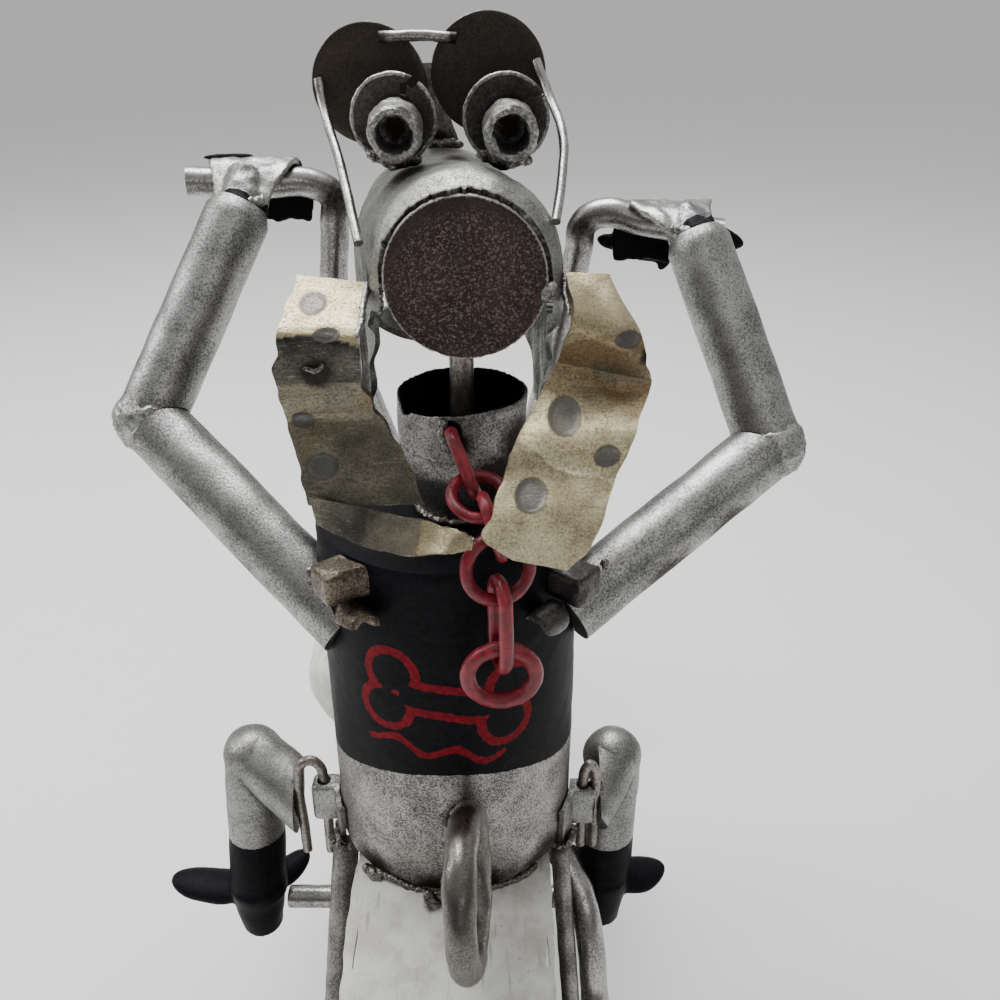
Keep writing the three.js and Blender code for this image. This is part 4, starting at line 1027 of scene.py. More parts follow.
def hand_at(sign, wrist, grip):
    def wide(half, y, z, shift=0.0):
        pair = (Vector((grip.x + shift + sign * half, y, z)), Vector((grip.x + shift - sign * half, y, z)))
        return pair if sign > 0 else (pair[1], pair[0])

    return strip_at([
        wide(7.5, wrist.y - 2, wrist.z - 4, wrist.x - grip.x),
        wide(8.5, wrist.y + 1, wrist.z + 3, (wrist.x - grip.x) * 0.7),
        wide(12.5, grip.y - 4, grip.z + 6.4),
        wide(14, grip.y + 3, grip.z + 6.8, sign),
        wide(14, grip.y + 7.4, grip.z + 2, -sign),
        wide(13, grip.y + 8, grip.z - 6, -sign * 4),
        wide(9, grip.y + 6, grip.z - 13, -sign * 7),
    ], 0.05)


for side, arm in ARMS.items():
    sign = arm["sign"]
    shoulder, elbow, wrist, grip = (Vector(arm[joint]) for joint in ("shoulder", "elbow", "wrist", "grip"))
    upper, fore, seam = mitred(shoulder, elbow, wrist)
    upper = carved(roughened(upper, 0.4, 11, sign), body_room())
    # Two dark patches under the upper arm: painted shade.
    underside_shade = [(shoulder.lerp(elbow, share) - Vector((0, 4, 10)), reach)
             for share, reach in zip((0.45, 0.75), arm["underside_shade"])]
    fitted(f"upper_arm_{side}_pipe", upper, arm_metal, "zinc_pipe", f"upper_arm_{side}", black=unpainted,
           scorch_and_shade_spots=[(elbow, 12), (shoulder.lerp(elbow, 0.16), 9)] + underside_shade)
    base = hand_at(sign, wrist, grip)

    def dented(u, v):
        wave = 0.9 * noise.noise(Vector((u * 4, v * 6, sign))) + 0.5 * noise.noise(Vector((u * 9, v * 13, 2)))
        scallop = 0.035 * math.cos(u * 6 * math.pi) * eased(v, 0.75, 1)
        return base(u, min(v + scallop * (1 - v) * 4, 1)) + Vector((0, 0.5 * wave, 1.1 * wave))

    hand = roughened(bent_sheet(dented, 46, 80, 2.2), 0.4, 4.4, 5.0)
    heel = Vector((grip.x * 0.4 + wrist.x * 0.6, grip.y - 5, grip.z + 4))
    neck = limb(wrist - (wrist - elbow).normalized() * 3, heel, 7.2, 5.4, sides=24)
    hand = together(hand, roughened(neck, 0.9, 3.6, 2.0))
    for start, end, width, flat in arm["fingers"]:
        start, end = Vector(start), Vector(end)
        lobe = ball()
        for vert in lobe.verts:
            vert.co.y *= 1 - 0.4 * vert.co.z
        moved(lobe, Matrix.Diagonal((flat / 2, width / 2 / 1.1, (end - start).length / 2, 1)))
        moved(lobe, Matrix.Translation((start + end) / 2) @ facing(end - start))
        hand = together(hand, roughened(lobe, 0.7, 5, width))
    fitted(f"hand_{side}_hammered", melted(hand, 0.62), arm_metal, "zinc_pipe", scorch_and_shade_spots=[(wrist, 6)],
           black=lambda p: max(p.y - (grip.y + 4.6), (p - grip).length - 16.5) * 1.2)
    roughened(fore, 0.3, 11, 3 * sign)
    line = (wrist - elbow).normalized()
    for vert in fore.verts:
        beyond = (vert.co - wrist).dot(line)
        if beyond > -5:
            axis = wrist + line * beyond
            vert.co = axis + (vert.co - axis) * (1 - 0.2 * eased(beyond, -5, 0) ** 2)
    fitted(f"forearm_{side}_pipe", fore, arm_metal, "zinc_pipe", f"forearm_{side}", black=unpainted,
           scorch_and_shade_spots=[(elbow, 12), (wrist + Vector((0, 2, 2)), 6)])
    knuckle = moved(ball(LIMB + 0.45, 5), Matrix.Translation(elbow + Vector((sign * 0.4, 0, 0))))
    roughened(knuckle, 0.8, 5, 2.0)
    roughened(knuckle, 0.3, 1.6, 4.0)
    knuckle = together(knuckle, bead(seam, 1.35, 8 + sign))
    fitted(f"elbow_weld_{side}", knuckle, bright_weld, "dark_steel", sharp=60)
    cuff = arc(wrist + Vector((0, 2, 1.5)), (7, 0, 0), (0, 6, 0), 3.3, 6.1, 8)
    welded(f"wrist_weld_{side}", (cuff, 1.5), finish=bright_weld)
    near_body = shoulder.lerp(elbow, 0.17)
    run = [near_body + Vector(step) for step in ((sign * -2, -9, -6), (0, -8, 2), (0, -4, 8))]
    welded(f"shoulder_weld_{side}", (run, 1.8))


# Shoulder brackets: a short square stub and a half-round tab, left beside each arm from an earlier try.
# The left pair has rusted.
rusty = metal("rusty bracket", (0.17, 0.145, 0.115), (0.065, 0.047, 0.034), 1.3, 0.5, bump=0.16, cloud=0.9)
BRACKETS = {
    "left": {"stub": (-26.5, -32, 229.6), "tab": (-22.4, -36.4, 219.5), "turn": 0.6,
             "open": (0, -0.35, -0.94), "finish": rusty},
    "right": {"stub": (34, -25, 225), "tab": (27.2, -33.4, 217), "turn": -0.7,
              "open": (-0.5, -0.2, -0.85), "finish": washer_face},
}


def chamfered(bm, width, corner=50, segments=2):
    bm.normal_update()
    edges = [e for e in bm.edges if len(e.link_faces) == 2 and e.calc_face_angle(0) > math.radians(corner)]
    bmesh.ops.bevel(
        bm, geom=edges, offset=width, offset_type="OFFSET", segments=segments, profile=0.5, affect="EDGES", material=-1
    )
    return bm


def beside_arm(bm, arm):
    """Cuts away what would run into the body or the upper arm."""
    return carved(carved(bm, body_room()), drill(arm["shoulder"], arm["elbow"], LIMB + 0.3, 64))


for side, bracket in BRACKETS.items():
    turn = Matrix.Rotation(bracket["turn"], 4, "Z")
    stub = chamfered(box((0, 0, 0), (13, 10, 9)), 0.9)
    bmesh.ops.triangulate(stub, faces=stub.faces)
    bmesh.ops.subdivide_edges(stub, edges=stub.edges, cuts=4, use_grid_fill=True)
    moved(stub, Matrix.Translation(bracket["stub"]) @ turn)
    stub = beside_arm(roughened(stub, 0.7, 4, 1.0), ARMS[side])
    fitted(f"shoulder_stub_{side}_cut", stub, bracket["finish"], "dark_steel", f"shoulder_stub_{side}")
    tab = bored([(2.6, -5), (4.0, -5), (4.6, -4.4), (4.6, 4.4), (4.0, 5), (2.6, 5), (2.6, -5)], 40)
    moved(tab, Matrix.Translation(bracket["tab"]) @ turn @ ON_EDGE)
    tab = beside_arm(roughened(tab, 0.3, 2.5), ARMS[side])
    trimmed(tab, Vector(bracket["tab"]) + Vector(bracket["open"]), Vector(bracket["open"]))
    fitted(f"shoulder_tab_{side}_ring", tab, bracket["finish"], "bright_rod", f"shoulder_tab_{side}")


# Handlebars: one bent rod for each hand, from the grip down to the steering tube, with a drilled end.
# Both are welded to the tube, and the hands are curled over them.
BARS = {
    "left": [(-83.5, 71.6, 311.2), (-60, 76, 310), (-45, 79, 309.2), (-39.4, 80.4, 305), (-39.6, 81.4, 297),
             (-41.8, 86, 270), (-34, 100, 225), (-17, 122.4, 167.5), (-6, 122.4, 147.5)],
    "right": [(86.5, 72, 295), (62, 76, 298), (48, 79, 300), (42.6, 80.2, 296.4), (41.4, 82, 288),
              (37.6, 90, 262), (29, 106, 215), (17, 122.4, 167.5), (6, 122.4, 147.5)],
}
BAR_RADIUS = 4.75
STEERING = Vector((0, 128, 139))
STEER_AXIS = Vector((0, -0.546, 0.838)).normalized()


def steering_room(extra, reach=34.0):
    return drill(STEERING - STEER_AXIS * reach, STEERING + STEER_AXIS * reach, 9 + extra, 48)


for side, route in BARS.items():
    handlebar = roughened(rod(route, BAR_RADIUS, sides=7, steps=12), 0.2, 5)
    end = Vector(route[0])
    along = (Vector(route[1]) - end).normalized()
    handlebar = carved(handlebar, drill(end - along * 3, end + along * 8, 3.1, 24))
    handlebar = carved(handlebar, steering_room(0.3))
    fitted(f"handlebar_{side}_bent", handlebar, bright_rod, "bright_rod", f"handlebar_{side}",
           scorch_and_shade_spots=[(end + along * 3, 3.4), (route[-1], 12), (route[3], 8)])


# Hips: a folded strap on the body holds one leg of a wire hook, and the thigh hangs on the other leg.
# The strap is sheet with a lip welded along the body, and the hook is soft wire.
HIPS = {
    "left": {"sign": -1, "y": -4, "inner": -43.4, "outer": -51.6, "bottom": 101, "cut": -53.6, "hollow": 13,
             "knee": (-70.5, 12, 130), "ankle": (-72, 0, 86), "toes": ((33.5, math.pi - 0.12), (22, 0.85))},
    "right": {"sign": 1, "y": -6, "inner": 42.4, "outer": 46.4, "bottom": 106, "cut": 48.4, "hollow": 17,
              "knee": (54, 12, 129), "ankle": (51, 0, 91), "toes": ((25, 0.2), (20, math.pi - 0.85))},
}
HOOK_TOP = 140.6
HOOK_ROOM = 2.3
STRAP = 1.6
for side, hip in HIPS.items():
    inner, outer, y, sign, bottom = hip["inner"], hip["outer"], hip["y"], hip["sign"], hip["bottom"]
    bend = [(0, bottom), (0, bottom + 8), (0, HOOK_TOP - 6), (0.15, HOOK_TOP - 1), (0.5, HOOK_TOP + 0.8),
            (0.85, HOOK_TOP - 1), (1, HOOK_TOP - 6), (1, bottom + 8), (1, bottom)]
    hook = rod([(inner * (1 - share) + outer * share, y, z) for share, z in bend], 1.7)
    fitted(f"hip_hook_{side}_wire", roughened(hook, 0.14, 2), rusty_rod, "bright_rod", f"hip_hook_{side}")
    outside = HOOK_ROOM + STRAP
    reach = abs(inner) + outside
    block = box((sign * (reach / 2 + 17), y, 125.7), (reach - 34, 2 * outside, 14.6))
    chamfered(block, 1.7, segments=4)
    for x in (inner, outer):
        block = carved(block, drill((x, y, 110), (x, y, 145), HOOK_ROOM, 32))
    block = carved(block, body_room())

    def lip_at(u, v):
        angle = (y - 13.4 + 16 * u) / (BODY_RADIUS + 1.3)
        away = BODY_RADIUS + 1.35 + 0.4 * noise.noise(Vector((u * 3, v * 3, sign)))
        z = 118.4 + 14.6 * v + 0.7 * noise.noise(Vector((u * 5, v, 9)))
        return Vector((sign * away * math.cos(angle), away * math.sin(angle), z))

    strap = together(roughened(block, 0.2, 3), roughened(bent_sheet(lip_at, 24, 20, STRAP), 0.25, 3))
    fitted(f"hip_strap_{side}_folded", strap, zinc_pipe, "bright_rod", f"hip_strap_{side}",
           scorch_and_shade_spots=[((sign * 38, y - 12, 118), 7), ((sign * 41, y, 119), 4)])
    foot = [(sign * 37.2, y - 13, 119.4), (sign * 38.6, y - 9, 118.2), (sign * 39, y - 4, 118)]
    flank = [(outer + sign * 1.5, y + 1.5, 132), (outer + sign * 2.4, y + 2, 125), (outer + sign * 1.8, y + 1, 117)]
    welded(f"hip_weld_{side}", (foot, 1.3), (flank, 1.3))


# Legs: a short thigh cut off flush beside the hook, and a shin whose end is splayed into a foot.
# Feet and ankles are dipped in black paint. The right thigh's open end has rusted.
leg_metal = metal(
    "leg pipe", (0.34, 0.335, 0.325), (0.17, 0.167, 0.162), 1.5, 0.5, bump=0.12, coats=(("black", BLACK, 0.45),)
)
BOOT_LINE = 101.5
TOE_WIDTHS = (15, 11)
for side, hip in HIPS.items():
    sign = hip["sign"]
    knee, ankle = Vector(hip["knee"]), Vector(hip["ankle"])
    start = Vector((hip["cut"] - sign * 6, hip["y"] + 1, 119))
    thigh, shin, seam = mitred(start, knee, ankle - Vector((0, 0, 10)))
    trimmed(thigh, (hip["cut"], 0, 0), (-sign, 0, 0))
    along = (knee - start).normalized()
    bore = drill(start - along * 8, start + along * hip["hollow"], 8.1, 40)
    thigh = carved(roughened(thigh, 0.35, 8, sign), bore)
    fitted(f"thigh_{side}_pipe", thigh, leg_metal, "zinc_pipe", f"thigh_{side}", black=unpainted,
           scorch_and_shade_spots=[(knee, 7), (start + along * 9, 8), (start + along * 3, 8)])
    sole = limb(ankle - Vector((0, 0, 5)), ankle + Vector((0, -1, -25)), 10, 7.2)
    parts = [shin, sole, moved(ball(LIMB + 0.25), Matrix.Translation(knee))]
    for (length, turn), width in zip(hip["toes"], TOE_WIDTHS):
        toe = ball()
        for vert in toe.verts:
            vert.co.z += 0.5 * vert.co.x ** 2 - 0.3
        moved(toe, Matrix.Diagonal((length / 2, width / 2, 4.2, 1)))
        outward = Matrix.Rotation(turn, 4, "Z") @ Matrix.Translation((length / 2, 0, 0))
        parts.append(moved(toe, Matrix.Translation(ankle + Vector((0, 2, -11))) @ outward))
    leg = roughened(melted(together(*parts), 0.8, passes=2), 0.5, 9, sign)
    fitted(f"shin_{side}_splayed", leg, leg_metal, "zinc_pipe", f"shin_{side}", sharp=60,
           black=lambda p: BOOT_LINE - p.z, scorch_and_shade_spots=[(knee, 7)])
    welded(f"knee_weld_{side}", (seam[8:25], 0.8), finish=bright_weld)


# Tail ring: a thick forged ring welded on edge to the back of the body, brown with handling.
# Short weld runs beside it hold the body's foot to the fender.
tail_metal = metal("tail ring steel", (0.20, 0.188, 0.17), (0.11, 0.10, 0.09), 1.6, 0.5, cloud=0.9, shine=0.12)
TAIL = Vector((6.4, -62.2, 148.4))
TAIL_RADIUS = 19.25
lean = Matrix.Rotation(-0.07, 4, "Y") @ Matrix.Rotation(-0.06, 4, "Z")
route = arc(TAIL, lean @ Vector((0, TAIL_RADIUS, 0)), lean @ Vector((0, 0, TAIL_RADIUS)), 0, FULL_TURN, 33)[:-1]
tail = carved(roughened(rod(route, 4.4, closed=True, sides=8, steps=4), 0.5, 7), body_room())
fitted("tail_ring_forged", tail, tail_metal, "dark_steel", "tail_ring", scorch_and_shade_spots=[((5, -41, 146), 8)], sharp=70)
welded("tail_weld", ([(2.2, -39.2, 154), (2.0, -39.6, 148), (2.4, -39.8, 141)], 1.7),
       ([(9.4, -39, 153), (9.6, -39.6, 147), (9.2, -39.4, 142)], 1.5),
       ([(-1, -39.6, 125.4), (0.6, -40.2, 122.4)], 2.2), ([(-7, -40, 120), (-4.6, -42, 117.6)], 2.2),
       ([(-27, -29, 120), (-23, -32, 119)], 1.8))
foot = [(38.4 * math.sin(a), -38.4 * math.cos(a), 119.6 + 0.8 * math.sin(9 * a)) for a in spread(-0.75, 0.75, 26)]
welded("body_foot_weld", (foot, 1.1))


# Rear fender: sheet bent over the wheel, painted off-white, stained and torn at both edges.
# Two short slits are cut beside the body's foot, where it is welded on.
paint, tree, shader = new_material("old white paint")
place = in_millimetres(tree)
stain = mottled(tree, place, 0.06, 6.0, 0.65)
runs = mottled(tree, in_millimetres(tree, (420, 60, 60)), 1.0, 4.0)
flake = mottled(tree, place, 0.5, 6.0, 0.75)
color = mixed(tree, between(tree, stain, 0.36, 0.62), (0.50, 0.49, 0.43, 1), (0.72, 0.715, 0.68, 1))
color = mixed(tree, between(tree, runs, 0.58, 0.72, 0.0, 0.6), color, (0.24, 0.235, 0.19, 1))
color = mixed(tree, between(tree, flake, 0.62, 0.68, 0.0, 0.8), color, (0.15, 0.14, 0.12, 1))
surfaced(tree, shader, with_soot_and_shade(tree, color, 0.5)["Color"], between(tree, flake, 0.35, 0.65, 0.42, 0.65),
         flake, 0.5, 0.2)
FENDER_RADIUS = 63.7
FENDER_WIDTH = 62
AXLE_Y = -38.0


def fender_at(u, v):
    turn = math.radians(-20 + 128 * v)
    aside = u - 0.5
    away = FENDER_RADIUS - 0.45 - 2.2 * abs(2 * aside) ** 4 + 0.35 * noise.noise(Vector((u * 5, v * 6, 3)))
    torn = 1 - 0.03 * abs(noise.noise(Vector((v * 14, 2 if u > 0.5 else 5, 0))))
    return Vector((aside * FENDER_WIDTH * torn, AXLE_Y - away * math.sin(turn), 55 + away * math.cos(turn)))


fender = bent_sheet(fender_at, 60, 120, SHEET)
for x, depth in ((-27.5, 9.0), (29.0, 7.0)):
    slit = bmesh.new()
    bmesh.ops.create_cone(slit, cap_ends=True, segments=3, radius1=1.5, radius2=1.5, depth=16)
    tilt = Matrix.Rotation(math.radians(-20), 4, "X") @ Matrix.Diagonal((0.5, depth / 2, 1, 1))
    fender = carved(fender, moved(slit, Matrix.Translation((x, -56, 116)) @ tilt))
fitted("rear_fender_bent", fender, paint, "white_paint", "rear_fender",
       scorch_and_shade_spots=[((-5, -42, 118), 4), ((0, -25, 117), 9)])


# Wheels: rim, web and axle in one, pressed and turned, guessed from the fender's size. A small flat is ground
# under each, where it stands.
wheel_steel = metal("wheel steel", (0.38, 0.37, 0.35), (0.22, 0.21, 0.20), 1.3, 0.5, cloud=0.9)
# Each wheel: its radius, its width, its place along the bike, and the two ends of its axle
WHEELS = {"rear": (55.0, 34.0, -38.0, -35.5, 35.8), "front": (50.0, 27.2, 186.0, -16.95, 16.95)}
ACROSS = Matrix.Rotation(math.radians(90), 4, "Y")
HOLES = 5
HOLE_CIRCLE = 29 / 55
for name, (radius, width, y, left, right) in WHEELS.items():
    half = width / 2
    near = half * 0.25
    profile = [
        (0, left), (4.2, left), (5, left + 0.8), (5, -near - 4), (9, -near - 3.4), (10, -near), (22, -near),
        (23, -near - 0.8), (25, -near - 0.8), (26, -near), (radius * 0.63, -near), (radius * 0.665, -near - 0.8),
        (radius * 0.69, -half + 0.8), (radius * 0.72, -half), (radius * 0.8, -half + 0.4), (radius - 6, -half),
        (radius - 2, -half * 0.72), (radius - 0.3, -half * 0.5), (radius, -half * 0.4),
    ]
    tread = []
    for x in spread(-half * 0.4, half * 0.4, 9):
        tread += [(radius, x - 0.9), (radius - 0.7, x - 0.5), (radius - 0.7, x + 0.5), (radius, x + 0.9)]
    mirror = [(r, -x) for r, x in reversed(profile[2:])]
    mirror = [(r, min(x, right - 0.8)) if r == 5 and x > near + 4.01 else (r, x) for r, x in mirror]
    profile += [t for t in tread if abs(t[1]) < half * 0.4] + mirror + [(4.2, right), (0, right)]
    wheel = turned(profile, 128)
    moved(wheel, Matrix.Translation((0, y, radius - 0.4)) @ ACROSS)
    for k in range(HOLES):
        a = k * FULL_TURN / HOLES + 0.3
        away = HOLE_CIRCLE * radius
        hole = Vector((0, y + away * math.cos(a), radius - 0.4 + away * math.sin(a)))
        wheel = carved(wheel, drill(hole - Vector((20, 0, 0)), hole + Vector((20, 0, 0)), 3.2, 28))
    roughened(wheel, 0.12, 6)
    trimmed(wheel, (0, 0, 0), (0, 0, -1))
    fitted(f"{name}_wheel_turned", wheel, wheel_steel, "wheel_steel", f"{name}_wheel",
           scorch_and_shade_spots=[((left, y, radius), 6), ((right, y, radius), 6)])


# Stays and exhaust: bars from the body's foot down to the rear axle, and a bent pipe beside the right one.
# All three are welded at the top, and the pipe's rear end is open.
stay_metal = metal("stay steel", (0.30, 0.29, 0.27), (0.15, 0.142, 0.13), 1.3, 0.5, cloud=1.0)
STAYS = {"left": ((-36, -13, 115), (-41, -39, 48.6), 4.3), "right": ((34.6, -13, 115), (40, -39, 48.6), 3.0)}
EXHAUST = [(30, 1, 116.2), (33, -4, 108), (38, -9, 99), (42.4, -15, 92), (45.4, -23, 80), (47.4, -29, 60),
           (48, -44, 46), (48, -74, 42)]
for side, (top, low, radius) in STAYS.items():
    top, low = Vector(top), Vector(low)
    stay = chamfered(limb(top, low, radius, sides=32, rings=30), 0.5)
    fitted(f"stay_{side}_bar", roughened(stay, 0.2, 5), stay_metal, "bright_rod", f"stay_{side}",
           scorch_and_shade_spots=[(top, 5), (low, 5)])
    collar = arc(top + Vector((0, 0, 1)), (radius, 0, 0), (0, radius, 0), 3, 6.4, 7)
    welded(f"stay_weld_{side}", (collar, 1.4), ([low + Vector((2, 4, 3)), low + Vector((0, 5, 6))], 1.4))
exhaust = roughened(rod(EXHAUST, BAR_RADIUS, sides=7, steps=12), 0.2, 6)
exhaust = carved(exhaust, drill((48, -60, 42.4), (48, -80, 41.6), 3.5, 28))
fitted("exhaust_pipe_bent", exhaust, bright_rod, "bright_rod", "exhaust_pipe",
       scorch_and_shade_spots=[((48, -69, 42.2), 3.8), ((30, 1, 116), 10)])


# Frame: a bent backbone under the body, the steering tube at its end, and the fork, one rod bent over the
# front wheel. All of it is hidden or guessed.
BACKBONE = [(0, -14.2, 113.7), (0, 11.8, 113.7), (0, 62, 114.7), (0, 104, 133), (0, 124, 139)]
FRONT_HUB = Vector((0, 186, 49.6))
CROWN = STEERING - STEER_AXIS * (17 + 0.3 + BAR_RADIUS)
backbone = carved(roughened(rod(BACKBONE, 6, sides=7, steps=14), 0.25, 8), steering_room(0.3))
fitted("backbone_bent", backbone, dark_steel, "dark_steel", "backbone",
       scorch_and_shade_spots=[((0, -12, 113), 9), ((0, 120, 138), 10)])
tube = turned(
    [(0, -17), (5.4, -17), (5.4, -15.6), (8.2, -15.6), (9, -14.8)] + [(9, z) for z in spread(-13, 13, 16)]
    + [(9, 14.8), (8.2, 15.6), (5.4, 15.6), (5.4, 17), (0, 17)], 56)
moved(tube, Matrix.Translation(STEERING) @ facing(STEER_AXIS))
fitted("steering_tube_turned", roughened(tube, 0.2, 6), dark_steel, "dark_steel", "steering_tube",
       scorch_and_shade_spots=[((0, 122, 148), 10)])


def fork_leg(sign, share, inset=0.0):
    low = FRONT_HUB - STEER_AXIS * 9
    return low.lerp(CROWN, share) + Vector((sign * (22 - inset), 0, 0))


leg_steps = ((0, 0.0), (0.3, 0.0), (0.84, 0.0), (0.95, 2.5))
route = [fork_leg(-1, share, inset) for share, inset in leg_steps]
route += [CROWN + Vector((-13.2, 0, 0)), CROWN + Vector((13.2, 0, 0))]
route += [fork_leg(1, share, inset) for share, inset in reversed(leg_steps)]
fork = carved(roughened(rod(route, BAR_RADIUS, sides=7, steps=12), 0.2, 6), steering_room(0.3, 17.3))
fitted("front_fork_bent", fork, stay_metal, "bright_rod", "front_fork",
       scorch_and_shade_spots=[(CROWN, 12), (route[0], 9), (route[-1], 9)])
welded("frame_welds", (arc((0, 122.6, 147), (9.4, 0, 0), (0, 0, 4.5), 0.2, 2.9, 9), 1.6),
       (arc(CROWN + Vector((0, 3, 5)), (6, 0, 0), (0, 0, 0), 0, 3.1, 6), 1.7),
       ([(-5, 186, 49), (-14, 186, 49)], 1.0))


# Tank: a beaten shell on the backbone, just ahead of the body, in the fender's white paint.
# It is notched round the body, the backbone, the steering tube and the handlebars, and its seam is welded.
TANK = Vector((-11, 75.3, 121))
tank = bmesh.new()
bmesh.ops.create_uvsphere(tank, u_segments=96, v_segments=64, radius=0.5)
moved(tank, Matrix.Translation(TANK) @ Matrix.Diagonal((104, 86, 54, 1)))
roughened(tank, 1.6, 17, 2.0)
roughened(tank, 0.3, 5, 4.0)
for vert in tank.verts:
    vert.co.x = min(max(vert.co.x, -62.8), 40.8)
tank = carved(tank, body_room())
tank = carved(tank, box((0, 86, 86.7), (16, 172, 54)))
tank = carved(tank, rod(BACKBONE, 8, sides=6, steps=8))
tank = carved(tank, steering_room(2))
for route in BARS.values():
    tank = carved(tank, rod(route, 5.3, sides=5, steps=8))
fitted("tank_beaten", tank, paint, "white_paint", "tank", scorch_and_shade_spots=[((-40, 45, 126), 9), ((24, 45, 126), 9)], sharp=50)
seam = [TANK + Vector((49 * math.cos(a), 40.4 * math.sin(a), 0.3 * math.sin(5 * a))) for a in spread(0.35, 2.8, 26)]
welded("tank_seam", (seam, 1.0), finish=bright_weld)


# Engine: a pipe offcut across the frame with end plates, two short finned cylinders and a hanger.
# Rails run from the rear axle to its ends, each with a foot peg. All of it is hidden or guessed.
ENGINE = Vector((0, 54, 50))
PEG_Z = 73
half_case = [(0, 18), (5, 18), (5.6, 17), (12, 17), (12.8, 17.8), (17, 17.8), (17.6, 17), (20.8, 17), (22, 16)]
case = [(r, -x) for r, x in half_case] + [(22, z) for z in spread(-14, 14, 14)] + half_case[::-1]
parts = [moved(turned(case, 72), Matrix.Translation(ENGINE) @ ACROSS)]
for lean in (-0.6, 0.6):
    profile = [(0, 16), (10.5, 16)]
    for z in spread(20.5, 38.5, 7):
        profile += [(10.5, z), (13, z + 0.3), (13, z + 1.3), (10.5, z + 1.6)]
    profile += [(10.5, 41), (9.6, 42), (3.4, 42), (3.2, 42), (0, 42)]
    parts.append(moved(turned(profile, 56), Matrix.Translation(ENGINE) @ Matrix.Rotation(-lean, 4, "X")))
parts.append(chamfered(box((0, 54, 87), (6, 12, 39.2)), 0.8))
engine = roughened(together(*parts), 0.1, 5)
fitted("engine_offcut", engine, dark_steel, "dark_steel", "engine", scorch_and_shade_spots=[((0, 54, 72), 8)])
welded("engine_welds", ([(-3.6, 49, 74), (-3.6, 58, 74)], 1.6), ([(3.6, 49, 74), (3.6, 58, 74)], 1.6))
for side, hip in HIPS.items():
    sign = hip["sign"]
    x = sign * 22.8
    rail = rod([(x, -36, 54.6), (x, -20, 64.6), (x, 0, 73), (x, 24, 71), (x, 62, 54)], 4.5, sides=6, steps=12)
    rail = carved(roughened(rail, 0.2, 6), drill((-60, AXLE_Y, 54.6), (60, AXLE_Y, 54.6), 5.3, 36))
    trimmed(rail, (0, -37.5, 54.6), (0, -1, 0))
    fitted(f"frame_rail_{side}_bent", rail, dark_steel, "dark_steel", f"frame_rail_{side}",
           scorch_and_shade_spots=[((x, -34, 56), 9), ((x, 0, 73), 7), ((x, 60, 55), 8)])
    start, end = (sign * 27.6, 0, PEG_Z), (hip["ankle"][0] - sign * 10.6, 0, PEG_Z)
    peg = roughened(chamfered(limb(start, end, 4, sides=32, rings=16), 0.6), 0.15, 4)
    fitted(f"foot_peg_{side}_rod", peg, bright_rod, "dark_steel", f"foot_peg_{side}", scorch_and_shade_spots=[(start, 4.5)])
    collar = arc((sign * 27.8, 0, PEG_Z), (0, 4, 0), (0, 0, 4), 0, 6.3, 13)
    welded(f"foot_peg_weld_{side}", (collar, 0.9))


# Stand: a flat foot bar on the ground, with one leg up to the engine's underside.
# Both are guessed, and they are welded together where they meet.
foot_bar = chamfered(box((0, 0, 2), (96, 14, 4)), 0.6)
leg = limb((0, 0, 2), ENGINE, 4, sides=32, rings=30)
leg = carved(leg, drill((-60, 54, 50), (60, 54, 50), 22.6, 96))
trimmed(leg, (0, 54, 0), (0, 1, 0))
trimmed(leg, (0, 0, 1.2), (0, 0, -1))
fitted("prop_stand_welded", together(foot_bar, leg), dark_steel, "dark_steel", "prop_stand", scorch_and_shade_spots=[((0, 2, 4), 7)])
welded("prop_stand_weld", (arc((0, 2, 4.6), (5, 0, 0), (0, 5, 0), 0, 6.3, 14), 1.2))


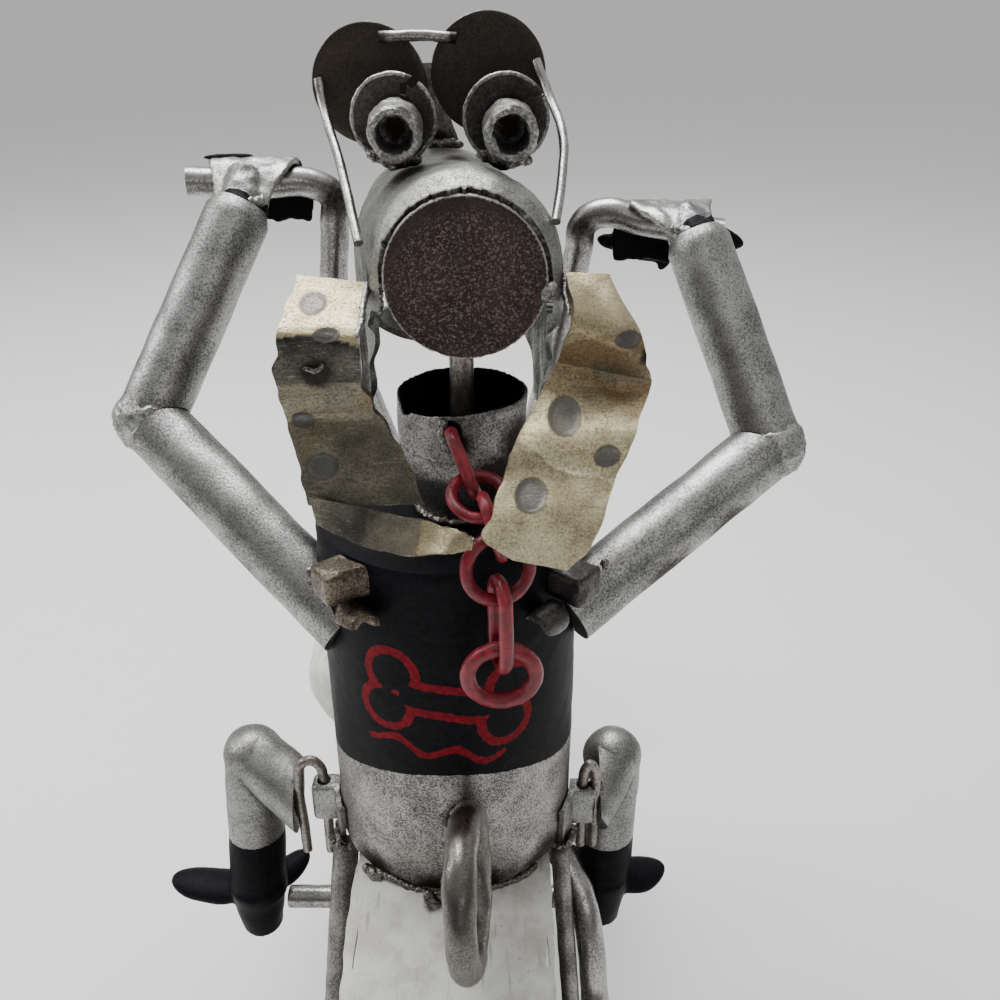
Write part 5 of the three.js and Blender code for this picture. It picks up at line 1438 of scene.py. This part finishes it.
# Studio: one plain pale floor, a soft light overhead, a dimmer one behind the camera, and the photo's angle.
floor_mesh = bmesh.new()
bmesh.ops.create_grid(floor_mesh, x_segments=8, y_segments=8, size=24.0)
sheet_of_floor = bpy.data.meshes.new("studio_floor")
floor_mesh.to_mesh(sheet_of_floor)
floor_mesh.free()
floor = bpy.data.objects.new("studio_floor", sheet_of_floor)
bpy.context.scene.collection.objects.link(floor)
pale, tree, shader = new_material("pale floor")
mottle = mottled(tree, in_millimetres(tree, (12, 12, 12)), 1.0, 3.0)
color = mixed(tree, mottle, (0.78, 0.78, 0.775, 1), (0.81, 0.81, 0.80, 1))
tree.links.new(color, shader.inputs["Base Color"])
shader.inputs["Roughness"].default_value = 0.7
sheet_of_floor.materials.append(pale)


def soft_light(name, place, aim, width, height, power):
    light = bpy.data.lights.new(name, "AREA")
    light.shape = "RECTANGLE"
    light.size, light.size_y = width, height
    light.energy = power
    lamp = bpy.data.objects.new(name, light)
    lamp.location = place
    lamp.rotation_euler = (Vector(aim) - Vector(place)).to_track_quat("-Z", "Y").to_euler()
    bpy.context.scene.collection.objects.link(lamp)


soft_light("overhead", (-0.15, 0.35, 1.25), (0, 0.02, 0.2), 0.8, 0.6, 21)
soft_light("left_window", (-1.2, 0.1, 0.9), (0, 0, 0.2), 0.4, 0.9, 8)
soft_light("fill", (0.5, -1.3, 0.95), (0, 0, 0.2), 1.0, 0.5, 2.5)
world = bpy.data.worlds.new("studio")
world.use_nodes = True
tree = world.node_tree
direction = tree.nodes.new("ShaderNodeTexCoord").outputs["Generated"]
split = add(tree, "ShaderNodeSeparateXYZ", {0: direction}).outputs
height = plus(tree, sums(tree, "MULTIPLY", split["Z"], 0.85), split["Y"], 0.45)
sky = mixed(tree, between(tree, height, -0.35, 0.75), (0.12, 0.12, 0.122, 1), (1.0, 1.0, 1.0, 1))
tree.links.new(sky, tree.nodes["Background"].inputs["Color"])
tree.nodes["Background"].inputs["Strength"].default_value = 0.72
bpy.context.scene.world = world

camera = bpy.data.objects.new("camera", bpy.data.cameras.new("camera"))
camera.location = (0.015, -0.254, 0.371)
camera.rotation_euler = (math.radians(62), 0, 0)
camera.data.lens = 36.1
camera.data.sensor_width = 36
camera.data.clip_start = 0.01
bpy.context.scene.collection.objects.link(camera)
bpy.context.scene.camera = camera
